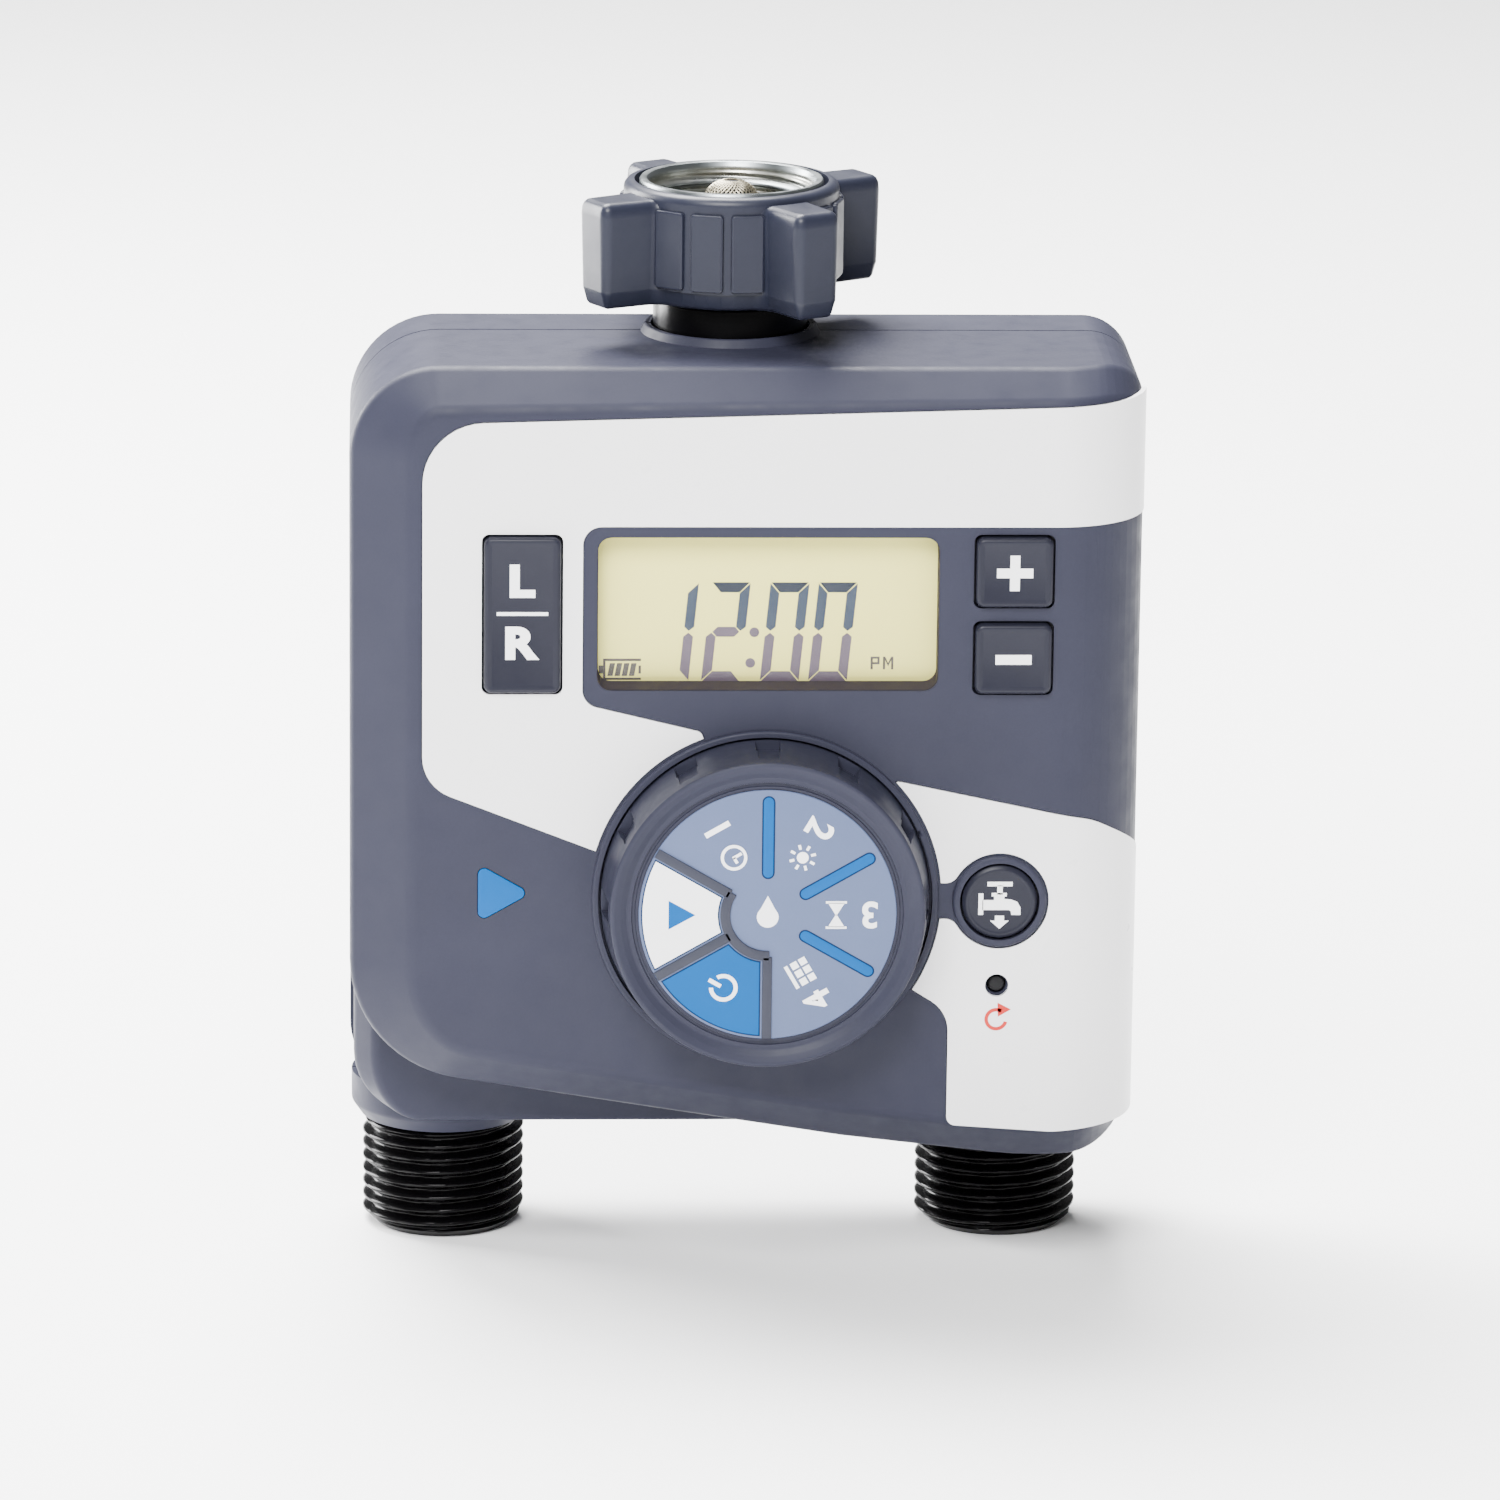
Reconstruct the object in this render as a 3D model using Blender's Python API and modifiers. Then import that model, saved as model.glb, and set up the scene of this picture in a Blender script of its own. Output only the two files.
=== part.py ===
"""Drip irrigation timer: one swivel inlet, two threaded outlets, dial, display and buttons.

Metres, +Z up. The front faces -Y. The origin is on the floor under the middle of the
bounding box, and the timer stands on the ends of its two outlets.
"""
import math

import bmesh
import bpy
from mathutils import Matrix, Vector

MM = 0.001
GAP = 0.3 * MM                      # clearance between touching pieces

# Shell, seen from the front. HALF_WIDTH is measured from the middle plane.
HALF_WIDTH = 64.0 * MM
TOP_Z = 151.0 * MM
PIPE_Y = 9.0 * MM                   # depth of the pipe axes, and of the seam between the shells
FACE_Y = PIPE_Y - 34.3 * MM         # flat front face
EDGE_Y = PIPE_Y - 28.3 * MM         # where the bevel meets the side walls
BACK_Y = PIPE_Y + 16.5 * MM         # flat back of the rear housing
WALL = 2.2 * MM
SIDE_BEVEL = 10.0 * MM              # width of the bevel on the left of the face
TOP_BEVEL = 6.2 * MM
WRAP_RADIUS = 15.0 * MM             # the face curves back into the right side
WRAP_X = HALF_WIDTH - WRAP_RADIUS
BACK_BEVEL = 4.5 * MM

# Corners as (x, z, fillet radius), counter-clockwise from the lower left, seen from the front.
COVER_CORNERS = [
    (-64.0, 35.2, 20.5), (16.0, 22.6, 60.0), (44.0, 19.3, 60.0),
    (64.0, 19.3, 11.0), (64.0, 151.0, 8.0), (-64.0, 151.0, 14.5),
]
REAR_CORNERS = [
    (-64.0, 22.0, 12.0), (64.0, 22.0, 12.0), (64.0, 151.0, 8.0), (-64.0, 151.0, 14.5),
]

# Block behind the slanted lower edge of the cover.
BLOCK_LOW = Vector((-63.4 * MM, PIPE_Y - 18.0 * MM, 22.0 * MM))
BLOCK_HIGH = Vector((40.0 * MM, PIPE_Y, 62.0 * MM))
BLOCK_CORNER = 11.0 * MM

# Water path.
OUTLET_X = (-48.6 * MM, 43.4 * MM)
SIDES = ("left", "right")
INLET_X = -2.2 * MM
THREAD_RADIUS = 13.35 * MM          # three-quarter inch hose thread, outside
THREAD_ROOT = 12.0 * MM
THREAD_PITCH = 2.209 * MM           # 11.5 turns to the inch
THREAD_TURNS = 7
THREAD_STEPS = 12                   # the ridge and the pipe share their facets
OUTLET_BORE = 9.0 * MM
COLLAR_RADIUS = 15.2 * MM
COLLAR_MOUTH_RADIUS = 13.7 * MM
COLLAR_LOW_Z = 18.7 * MM
COLLAR_EDGE_Z = 20.9 * MM
PIPE_RADIUS = 8.4 * MM
PIPE_BORE = 6.4 * MM
SEAT_Z = 52.0 * MM
SEAT_RADIUS = 7.0 * MM
SEAT_BORE = 5.4 * MM
CHAMBER_LOW_Z = 36.0 * MM
CHAMBER_RADIUS = 12.3 * MM
CHAMBER_BORE = 10.8 * MM
CROSS_Z = 43.0 * MM

# Swivel nut.
NUT_LOW_Z = 157.5 * MM
NUT_HIGH_Z = 176.0 * MM
NUT_RADIUS = 17.4 * MM
NUT_BORE = 15.9 * MM
NUT_WEB = 2.6 * MM
LUG_REACH = 26.6 * MM
LUG_WIDTH = 10.0 * MM
LUG_ANGLES = (30.0, 120.0, 210.0, 300.0)
NECK_RADIUS = 12.6 * MM
NECK_TUBE = 9.8 * MM
NECK_TOP_Z = 163.2 * MM

# Dial.
DIAL_X = 3.0 * MM
DIAL_Z = 64.7 * MM
DIAL_RADIUS = 26.7 * MM
DIAL_FRONT_RADIUS = 25.3 * MM
DIAL_FRONT = 45.0 * MM              # counted forward of the pipe axes
DIAL_BACK = 33.5 * MM
DIAL_WELL_RADIUS = 27.0 * MM
DIAL_WELL_DEPTH = 1.2 * MM
DIAL_RING_RADIUS = 28.0 * MM
DIAL_NOTCHES = 12
LABEL_RADIUS = 20.7 * MM
SHAFT_RADIUS = 3.5 * MM

# Front openings as (x low, x high, z low, z high).
LCD_OPENING = (-24.4 * MM, 30.4 * MM, 99.2 * MM, 124.5 * MM)
KEYS = {
    "button_left_right": (-42.5 * MM, -30.2 * MM, 99.0 * MM, 124.6 * MM),
    "button_plus": (36.2 * MM, 48.5 * MM, 113.2 * MM, 124.6 * MM),
    "button_minus": (36.2 * MM, 48.5 * MM, 98.9 * MM, 110.4 * MM),
}
KEY_PROUD = 1.3 * MM
KEY_TRAVEL = 0.8 * MM
MANUAL_X = 40.9 * MM
MANUAL_Z = 64.2 * MM
MANUAL_RADIUS = 6.1 * MM
MANUAL_RING = 7.5 * MM
RESET_X = 40.7 * MM
RESET_Z = 50.0 * MM
RESET_RADIUS = 1.6 * MM
PANEL_PROUD = 0.15 * MM
PANEL_SINK = 0.6 * MM

# Electronics, from the front to the back.
LCD_Y = PIPE_Y - 31.7 * MM
BOARD_Y = PIPE_Y - 24.8 * MM
BOARD_THICKNESS = 1.6 * MM
KEYPAD_Y = PIPE_Y - 26.0 * MM
KEYPAD_THICKNESS = 0.9 * MM

# Battery bay in the rear housing.
BAY_X = 32.5 * MM
BAY_LOW_Z = 64.0 * MM
BAY_HIGH_Z = 104.0 * MM
BAY_WALL = 1.8 * MM
BAY_FLOOR_Y = PIPE_Y + 10.0 * MM
BAY_BACK_Y = PIPE_Y + 25.0 * MM
DOOR_BACK_Y = PIPE_Y + 27.0 * MM
CELL_RADIUS = 7.15 * MM
CELL_HALF = 25.0 * MM
CELL_Y = PIPE_Y + 17.6 * MM
CELLS = {"upper": 92.6 * MM, "lower": 75.4 * MM}

COLLECTION_NAME = "drip_irrigation_timer"
PALETTE = {
    "housing": ((0.125, 0.130, 0.180), 0.45, 0.0),
    "white": ((0.85, 0.85, 0.86), 0.35, 0.0),
    "key": ((0.075, 0.075, 0.095), 0.30, 0.0),
    "black": ((0.012, 0.012, 0.014), 0.30, 0.0),
    "blue": ((0.08, 0.32, 0.62), 0.35, 0.0),
    "label": ((0.28, 0.34, 0.48), 0.40, 0.0),
    "lens": ((0.80, 0.84, 0.80), 0.08, 0.0),
    "lcd": ((0.60, 0.63, 0.45), 0.30, 0.0),
    "rubber": ((0.03, 0.03, 0.035), 0.75, 0.0),
    "board": ((0.02, 0.16, 0.07), 0.40, 0.0),
    "metal": ((0.62, 0.61, 0.58), 0.30, 1.0),
    "steel": ((0.55, 0.56, 0.58), 0.25, 1.0),
    "copper": ((0.72, 0.32, 0.14), 0.35, 1.0),
    "cell": ((0.10, 0.11, 0.13), 0.30, 0.0),
    "red": ((0.60, 0.04, 0.03), 0.45, 0.0),
    "natural": ((0.70, 0.68, 0.62), 0.50, 0.0),
}


def clear_scene():
    for item in list(bpy.data.objects):
        bpy.data.objects.remove(item, do_unlink=True)


def new_collection(name):
    made = bpy.data.collections.new(name)
    bpy.context.scene.collection.children.link(made)
    return made


clear_scene()
PARTS = new_collection(COLLECTION_NAME)
CUTTERS = new_collection("cutters")


# ---------------------------------------------------------------- helpers

def principled(name, finish):
    colour, roughness, metallic = PALETTE[finish]
    material = bpy.data.materials.new(name)
    material.use_nodes = True
    shader = material.node_tree.nodes["Principled BSDF"]
    shader.inputs["Base Color"].default_value = (*colour, 1.0)
    shader.inputs["Roughness"].default_value = roughness
    shader.inputs["Metallic"].default_value = metallic
    return material


def finish_object(name, mesh, finish):
    """Link a part, or a cutter when finish is None."""
    item = bpy.data.objects.new(name, mesh)
    if finish is None:
        CUTTERS.objects.link(item)
        item.hide_render = True
        item.display_type = "WIRE"
    else:
        PARTS.objects.link(item)
        mesh.materials.append(principled(name, finish))
    return item


def mesh_object(name, bm, finish):
    mesh = bpy.data.meshes.new(name)
    bmesh.ops.recalc_face_normals(bm, faces=bm.faces)
    if bm.calc_volume(signed=True) < 0.0:
        bmesh.ops.reverse_faces(bm, faces=bm.faces)
    bm.to_mesh(mesh)
    bm.free()
    return finish_object(name, mesh, finish)


def box(name, low, high, finish=None, bevel=0.0):
    low, high = Vector(low), Vector(high)
    bm = bmesh.new()
    bmesh.ops.create_cube(bm, size=1.0)
    bmesh.ops.scale(bm, vec=high - low, verts=bm.verts)
    bmesh.ops.translate(bm, vec=(low + high) / 2, verts=bm.verts)
    item = mesh_object(name, bm, finish)
    if bevel:
        soften(item, bevel)
    return item


def soften(item, width, angle=40.0, segments=1):
    modifier = item.modifiers.new("soft_edges", "BEVEL")
    modifier.width = width
    modifier.segments = segments
    modifier.limit_method = "ANGLE"
    modifier.angle_limit = math.radians(angle)
    return modifier


def aim(item, place, axis):
    """Move a piece made along +Z to its place, and turn it towards -Y or +X."""
    item.location = place
    if axis == "Y":
        item.rotation_euler = (math.radians(90.0), 0.0, 0.0)
    if axis == "X":
        item.rotation_euler = (0.0, math.radians(90.0), 0.0)


def turned(name, profile, place, axis="Z", finish=None, steps=24):
    """Turn a profile of (radius, height) round the axis through place.

    The profile runs down its outer side. Heights count along +Z, +X, or -Y for axis "Y".
    """
    mesh = bpy.data.meshes.new(name)
    points = [(radius, 0.0, height) for radius, height in profile]
    closed = profile[0][0] > 0.0
    edges = [(i, i + 1) for i in range(len(points) - 1)]
    if closed:
        edges.append((len(points) - 1, 0))
    mesh.from_pydata(points, edges, [])
    item = finish_object(name, mesh, finish)
    aim(item, place, axis)
    screw = item.modifiers.new("turn", "SCREW")
    screw.axis = "Z"
    screw.steps = steps
    screw.render_steps = steps
    screw.use_merge_vertices = True
    screw.merge_threshold = 0.00001
    screw.use_normal_calculate = False
    return item


def rod(name, radius, low, high, place, axis="Z", finish=None, steps=24, tip=None):
    """Cylinder from low to high along the axis, or a cone that ends in the radius tip."""
    bm = bmesh.new()
    middle = Matrix.Translation((0.0, 0.0, (low + high) / 2))
    bmesh.ops.create_cone(bm, cap_ends=True, segments=steps, radius1=radius,
                          radius2=radius if tip is None else tip,
                          depth=high - low, matrix=middle)
    item = mesh_object(name, bm, finish)
    aim(item, place, axis)
    return item


def ring(name, inner, outer, low, high, place, axis="Z", finish=None, steps=24):
    profile = [(outer, high), (outer, low), (inner, low), (inner, high)]
    return turned(name, profile, place, axis, finish, steps)


def boolean(item, cutter, operation="DIFFERENCE"):
    modifier = item.modifiers.new(cutter.name, "BOOLEAN")
    modifier.operation = operation
    modifier.object = cutter
    modifier.solver = "EXACT"


def cut(item, *cutters):
    for cutter in cutters:
        boolean(item, cutter)


def join(item, *additions):
    for addition in additions:
        boolean(item, addition, "UNION")


def wire(name, points, radius, finish):
    """Round wire along a polyline, with filled ends, as a mesh."""
    curve = bpy.data.curves.new(name, "CURVE")
    curve.dimensions = "3D"
    curve.bevel_depth = radius
    curve.bevel_resolution = 2
    curve.use_fill_caps = True
    spline = curve.splines.new("POLY")
    spline.points.add(len(points) - 1)
    for target, point in zip(spline.points, points):
        target.co = (*point, 1.0)
    curve.materials.append(principled(name, finish))
    item = bpy.data.objects.new(name, curve)
    PARTS.objects.link(item)
    return item


def smooth_route(points, count):
    """Points along a Catmull-Rom curve through the given ones."""
    ends = [points[0] * 2 - points[1]] + points + [points[-1] * 2 - points[-2]]
    route = []
    for step in range(count):
        position = step / (count - 1) * (len(points) - 1)
        span = min(int(position), len(points) - 2)
        t = position - span
        a, b, c, d = ends[span:span + 4]
        route.append(((b * 2) + (c - a) * t + (a * 2 - b * 5 + c * 4 - d) * t ** 2
                      + (b * 3 - a - c * 3 + d) * t ** 3) / 2)
    return route


def helix(centre, radius, low, high, turns, per_turn, axis="Z"):
    points = []
    count = turns * per_turn
    for step in range(count + 1):
        angle = math.tau * step / per_turn
        along = low + (high - low) * step / count
        around = (radius * math.cos(angle), radius * math.sin(angle))
        if axis == "Z":
            points.append(Vector((around[0], around[1], along)) + centre)
        else:
            points.append(Vector((along, around[0], around[1])) + centre)
    return points


# ---------------------------------------------------------------- outlines

def rounded(corners, segments=4):
    """Points of a polygon whose corners (x, z, radius) are rounded. Lengths in millimetres."""
    points = []
    count = len(corners)
    for index, (x, z, radius) in enumerate(corners):
        here = Vector((x, z))
        back = (Vector(corners[index - 1][:2]) - here).normalized()
        ahead = (Vector(corners[(index + 1) % count][:2]) - here).normalized()
        half = math.acos(max(-1.0, min(1.0, back.dot(ahead)))) / 2
        if radius <= 0.0:
            points.append(here * MM)
            continue
        reach = radius / math.tan(half)
        centre = here + (back + ahead).normalized() * (radius / math.sin(half))
        start = here + back * reach - centre
        sweep = math.pi - 2 * half
        turn = 1.0 if back.cross(ahead) < 0.0 else -1.0
        steps = max(2, round(segments * sweep / (math.pi / 2)))
        for step in range(steps + 1):
            angle = turn * sweep * step / steps
            spin = Matrix.Rotation(angle, 2)
            points.append((centre + spin @ start) * MM)
    return points


def inward_normals(points):
    normals = []
    count = len(points)
    for index, point in enumerate(points):
        before = (point - points[index - 1]).normalized()
        after = (points[(index + 1) % count] - point).normalized()
        tangent = (before + after).normalized()
        stretch = 1.0 / max(0.5, tangent.dot(after))
        normals.append(Vector((-tangent.y, tangent.x)) * stretch)
    return normals


def inset(points, distance):
    return [p + n * distance for p, n in zip(points, inward_normals(points))]


def face_crease(points):
    """Outline of the flat face inside the bevels; the right side has none."""
    crease = []
    for point, normal in zip(points, inward_normals(points)):
        narrowing = 1.9 * MM * (point.x + HALF_WIDTH) / (2 * HALF_WIDTH)
        rise = TOP_BEVEL - (narrowing if point.y > TOP_Z / 2 else 0.0)
        across = SIDE_BEVEL if normal.x > 0.0 else 0.0
        crease.append(point + Vector((normal.x * across, normal.y * rise)))
    return crease


def loft(sections):
    """Closed mesh through outlines at depths: sections are (points, y), front first."""
    bm = bmesh.new()
    loops = []
    for points, y in sections:
        loops.append([bm.verts.new((p.x, y, p.y)) for p in points])
    count = len(loops[0])
    for front, back in zip(loops, loops[1:]):
        for i in range(count):
            j = (i + 1) % count
            bm.faces.new((front[i], front[j], back[j], back[i]))
    bm.faces.new(loops[0])
    bm.faces.new(reversed(loops[-1]))
    return bm


def slice_at(bm, positions):
    for plane_x in positions:
        geometry = bm.verts[:] + bm.edges[:] + bm.faces[:]
        bmesh.ops.bisect_plane(bm, geom=geometry, dist=0.000001,
                               plane_co=(plane_x, 0, 0), plane_no=(1, 0, 0))


def wrap_right(bm, limit_y, radius=WRAP_RADIUS):
    """Push everything beyond WRAP_X backwards along an arc, except behind limit_y."""
    slice_at(bm, [WRAP_X + radius * share for share in (0.0, 0.25, 0.5, 0.7, 0.85, 0.95)])
    for vert in bm.verts:
        over = min(max(vert.co.x - WRAP_X, 0.0), radius * 0.9999)
        if vert.co.y < limit_y:
            vert.co.y += radius - math.sqrt(radius * radius - over * over)


def bend_right(bm):
    """Bend a thin plate round the same arc, keeping its thickness and its length."""
    turns = [math.asin(share) for share in (0.25, 0.5, 0.7, 0.85, 0.95)]
    slice_at(bm, [WRAP_X] + [WRAP_X + WRAP_RADIUS * turn for turn in turns])
    for vert in bm.verts:
        turn = max(vert.co.x - WRAP_X, 0.0) / WRAP_RADIUS
        if turn > 0.0:
            arm = WRAP_RADIUS - (vert.co.y - FACE_Y)
            vert.co.x = WRAP_X + arm * math.sin(turn)
            vert.co.y = FACE_Y + WRAP_RADIUS - arm * math.cos(turn)


def plate(name, points, y_front, y_back, finish=None, wrapped=False):
    """Flat plate, or one that follows the curved right side of the face."""
    bm = loft([(points, y_front), (points, y_back)])
    if wrapped:
        bend_right(bm)
    return mesh_object(name, bm, finish)


def rectangle(x_low, x_high, z_low, z_high, radius=1.0 * MM, segments=3):
    low_x, high_x, low_z, high_z, r = (v / MM for v in (x_low, x_high, z_low, z_high, radius))
    corners = [(low_x, low_z, r), (high_x, low_z, r), (high_x, high_z, r), (low_x, high_z, r)]
    return rounded(corners, segments)


# ---------------------------------------------------------------- housings

SEAM = 0.15 * MM
PANEL_END = (WRAP_X + WRAP_RADIUS * math.radians(84.0)) / MM     # along the bent face
UPPER_PANEL = [
    (-52.3, 83.4, 7.0), (-9.0, 66.6, 0.0), (3.0, 64.7, 0.0), (-7.6, 92.4, 0.0),
    (-26.7, 97.0, 3.0), (-26.7, 126.2, 3.0), (PANEL_END, 126.2, 0.0), (PANEL_END, 146.3, 0.0),
    (-52.3, 142.8, 10.0),
]
LOWER_PANEL = [
    (32.9, 26.4, 1.5), (50.0, 25.2, 12.0), (PANEL_END, 25.8, 0.0), (PANEL_END, 70.0, 0.0),
    (56.0, 77.4, 12.0), (24.0, 84.2, 0.0), (3.0, 64.7, 0.0), (25.6, 50.2, 0.0), (32.9, 45.6, 6.0),
]
POINTER = [(-43.3, 60.7, 1.0), (-34.8, 65.55, 1.0), (-43.3, 70.4, 1.0)]
UPPER_SCREWS = [(-54.0 * MM, 140.0 * MM), (54.0 * MM, 140.0 * MM)]
LOWER_SCREWS = [(-20.0 * MM, 28.6 * MM), (20.0 * MM, 28.6 * MM)]
FACE_DEPTH = PIPE_Y - FACE_Y        # the face, counted forward of the pipe axes


def centred(x, z):
    """Place of a turned piece whose axis runs towards the front."""
    return (x, PIPE_Y, z)


def cover_solid(name, distance, front_y, back_y, radius):
    outline = inset(rounded(COVER_CORNERS), distance)
    crease = face_crease(outline)
    edge_y = front_y + (EDGE_Y - FACE_Y)
    bm = loft([(crease, front_y), (outline, edge_y), (outline, back_y)])
    wrap_right(bm, PIPE_Y - 1.0 * MM, radius)
    return mesh_object(name, bm, None)


def block_solid(name, distance, front_y, back_y):
    low, high = BLOCK_LOW / MM, BLOCK_HIGH / MM
    corners = [(low.x, low.z, BLOCK_CORNER / MM), (high.x, low.z, 5.0), (high.x, high.z, 5.0),
               (low.x, high.z, 5.0)]
    outline = inset(rounded(corners), distance)
    nose = [p + Vector((max(n.x, 0.0) * 3.4 * MM, 0.0))
            for p, n in zip(outline, inward_normals(outline))]
    shoulder = [a.lerp(b, 0.3) for a, b in zip(outline, nose)]
    sections = [(nose, front_y), (shoulder, front_y + 1.2 * MM), (outline, front_y + 4.0 * MM),
                (outline, back_y)]
    return mesh_object(name, loft(sections), None)


def add_collars(item):
    """Collars round the three pipes, and the holes that the pipes pass through."""
    collar = [(0.0, 26.0 * MM), (COLLAR_RADIUS, 26.0 * MM), (COLLAR_RADIUS, COLLAR_EDGE_Z),
              (COLLAR_MOUTH_RADIUS, COLLAR_LOW_Z), (0.0, COLLAR_LOW_Z)]
    for x in OUTLET_X:
        join(item, turned("outlet_collar", collar, (x, PIPE_Y, 0.0)))
    join(item, rod("inlet_collar", 15.4 * MM, TOP_Z - 1.6 * MM, TOP_Z + 1.5 * MM,
                   (INLET_X, PIPE_Y, 0.0), steps=36, tip=14.0 * MM))


def pipe_holes(item):
    for x in OUTLET_X:
        cut(item, rod("outlet_hole", THREAD_ROOT + GAP, 10.0 * MM, 35.0 * MM, (x, PIPE_Y, 0.0)))
    cut(item, rod("inlet_hole", NECK_RADIUS + GAP, 140.0 * MM, 160.0 * MM,
                  (INLET_X, PIPE_Y, 0.0), steps=32))


def panel_plate(name, corners, y_front, y_back, grow, finish=None):
    """Panel on the face, kept clear of the dial's ring and of the manual button's ring."""
    outline = inset(rounded(corners, 4), -grow) if grow else rounded(corners, 4)
    item = plate(name, outline, y_front, y_back, finish, wrapped=True)
    dial = rod(name + "_dial_bay", DIAL_RING_RADIUS + 0.5 * MM - grow, 25.0 * MM, 45.0 * MM,
               centred(DIAL_X, DIAL_Z), "Y", steps=40)
    cut(item, dial)
    if corners is UPPER_PANEL and not grow:
        edge = 0.35 * MM
        x_low, x_high, z_low, z_high = KEYS["button_left_right"]
        outline = rectangle(x_low - edge, x_high + edge, z_low - edge, z_high + edge, 1.2 * MM)
        cut(item, plate(name + "_key_hole", outline, y_front - 1.0 * MM, y_back + 1.0 * MM))
    if corners is LOWER_PANEL:
        button = rod(name + "_button_bay", MANUAL_RING + 0.5 * MM - grow, 25.0 * MM, 45.0 * MM,
                     centred(MANUAL_X, MANUAL_Z), "Y")
        neck = box(name + "_neck", (DIAL_X, y_front - 9.0 * MM, MANUAL_Z - 3.0 * MM + grow),
                   (MANUAL_X, y_back + 9.0 * MM, MANUAL_Z + 3.0 * MM - grow))
        reset = rod(name + "_reset_hole", RESET_RADIUS + GAP, 25.0 * MM, 45.0 * MM,
                    centred(RESET_X, RESET_Z), "Y", steps=16)
        cut(item, button, neck)
        if not grow:
            cut(item, reset)
    return item


def make_front_housing():
    back_y = PIPE_Y + 3.0 * MM
    shell = cover_solid("front_housing", 0.0, FACE_Y, back_y, WRAP_RADIUS)
    CUTTERS.objects.unlink(shell)
    PARTS.objects.link(shell)
    shell.hide_render = False
    shell.display_type = "TEXTURED"
    shell.data.materials.append(principled("front_housing", "housing"))
    join(shell, block_solid("lower_block", 0.0, BLOCK_LOW.y, back_y))
    add_collars(shell)
    inner_y = PIPE_Y + 6.0 * MM
    cut(shell, cover_solid("cover_cavity", WALL, FACE_Y + WALL, inner_y, WRAP_RADIUS - WALL))
    cut(shell, block_solid("block_cavity", WALL, BLOCK_LOW.y + WALL, inner_y))
    join(shell, rod("dial_boss", DIAL_WELL_RADIUS + 2.4 * MM, 31.0 * MM,
                    FACE_DEPTH - 0.7 * MM, centred(DIAL_X, DIAL_Z), "Y", steps=28))
    join(shell, rod("dial_ring", DIAL_RING_RADIUS, FACE_DEPTH - 0.5 * MM,
                    FACE_DEPTH + 1.0 * MM, centred(DIAL_X, DIAL_Z), "Y", steps=40))
    join(shell, rod("manual_ring", MANUAL_RING, FACE_DEPTH - 0.5 * MM,
                    FACE_DEPTH + 0.8 * MM, centred(MANUAL_X, MANUAL_Z), "Y"))
    for x, z in UPPER_SCREWS + LOWER_SCREWS:
        front = 16.5 * MM if z < COVER_CORNERS[0][1] * MM and x < 0.0 else 31.0 * MM
        boss = rod("front_boss", 3.6 * MM, 0.5 * MM, front, centred(x, z), "Y", steps=16)
        pilot = rod("pilot_hole", 1.6 * MM, -1.0 * MM, 13.0 * MM, centred(x, z), "Y", steps=12)
        join(shell, boss)
        cut(shell, pilot)
    cut_front_openings(shell)
    pipe_holes(shell)
    cut(shell, box("front_seam", (-0.1, PIPE_Y - SEAM, -0.1), (0.1, PIPE_Y + 0.1, 0.3)))


def cut_front_openings(shell):
    y_out, y_in = FACE_Y - 4.0 * MM, FACE_Y + 8.0 * MM
    cut(shell, plate("lcd_opening", rectangle(*LCD_OPENING, 2.0 * MM), y_out, y_in))
    for name, (x_low, x_high, z_low, z_high) in KEYS.items():
        edge = 0.35 * MM
        hole = rectangle(x_low - edge, x_high + edge, z_low - edge, z_high + edge, 1.2 * MM)
        cut(shell, plate(name + "_hole", hole, y_out, y_in))
    dial = centred(DIAL_X, DIAL_Z)
    cut(shell, rod("dial_well", DIAL_WELL_RADIUS, FACE_DEPTH - DIAL_WELL_DEPTH, 46.0 * MM,
                   dial, "Y", steps=40))
    cut(shell, rod("shaft_hole", SHAFT_RADIUS + 0.4 * MM, 28.0 * MM, 46.0 * MM, dial, "Y",
                   steps=16))
    cut(shell, rod("manual_hole", MANUAL_RADIUS + 0.35 * MM, 28.0 * MM, 46.0 * MM,
                   centred(MANUAL_X, MANUAL_Z), "Y"))
    sunk = FACE_Y + PANEL_SINK + GAP
    clear = 0.2 * MM
    for name, corners in (("upper_recess", UPPER_PANEL), ("lower_recess", LOWER_PANEL)):
        cut(shell, panel_plate(name, corners, FACE_Y - 3.0 * MM, sunk, clear))
    cut(shell, plate("pointer_recess", inset(rounded(POINTER, 4), -clear), y_out, sunk))
    cut(shell, rod("reset_hole", RESET_RADIUS, 28.0 * MM, 46.0 * MM,
                   centred(RESET_X, RESET_Z), "Y", steps=16))


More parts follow.
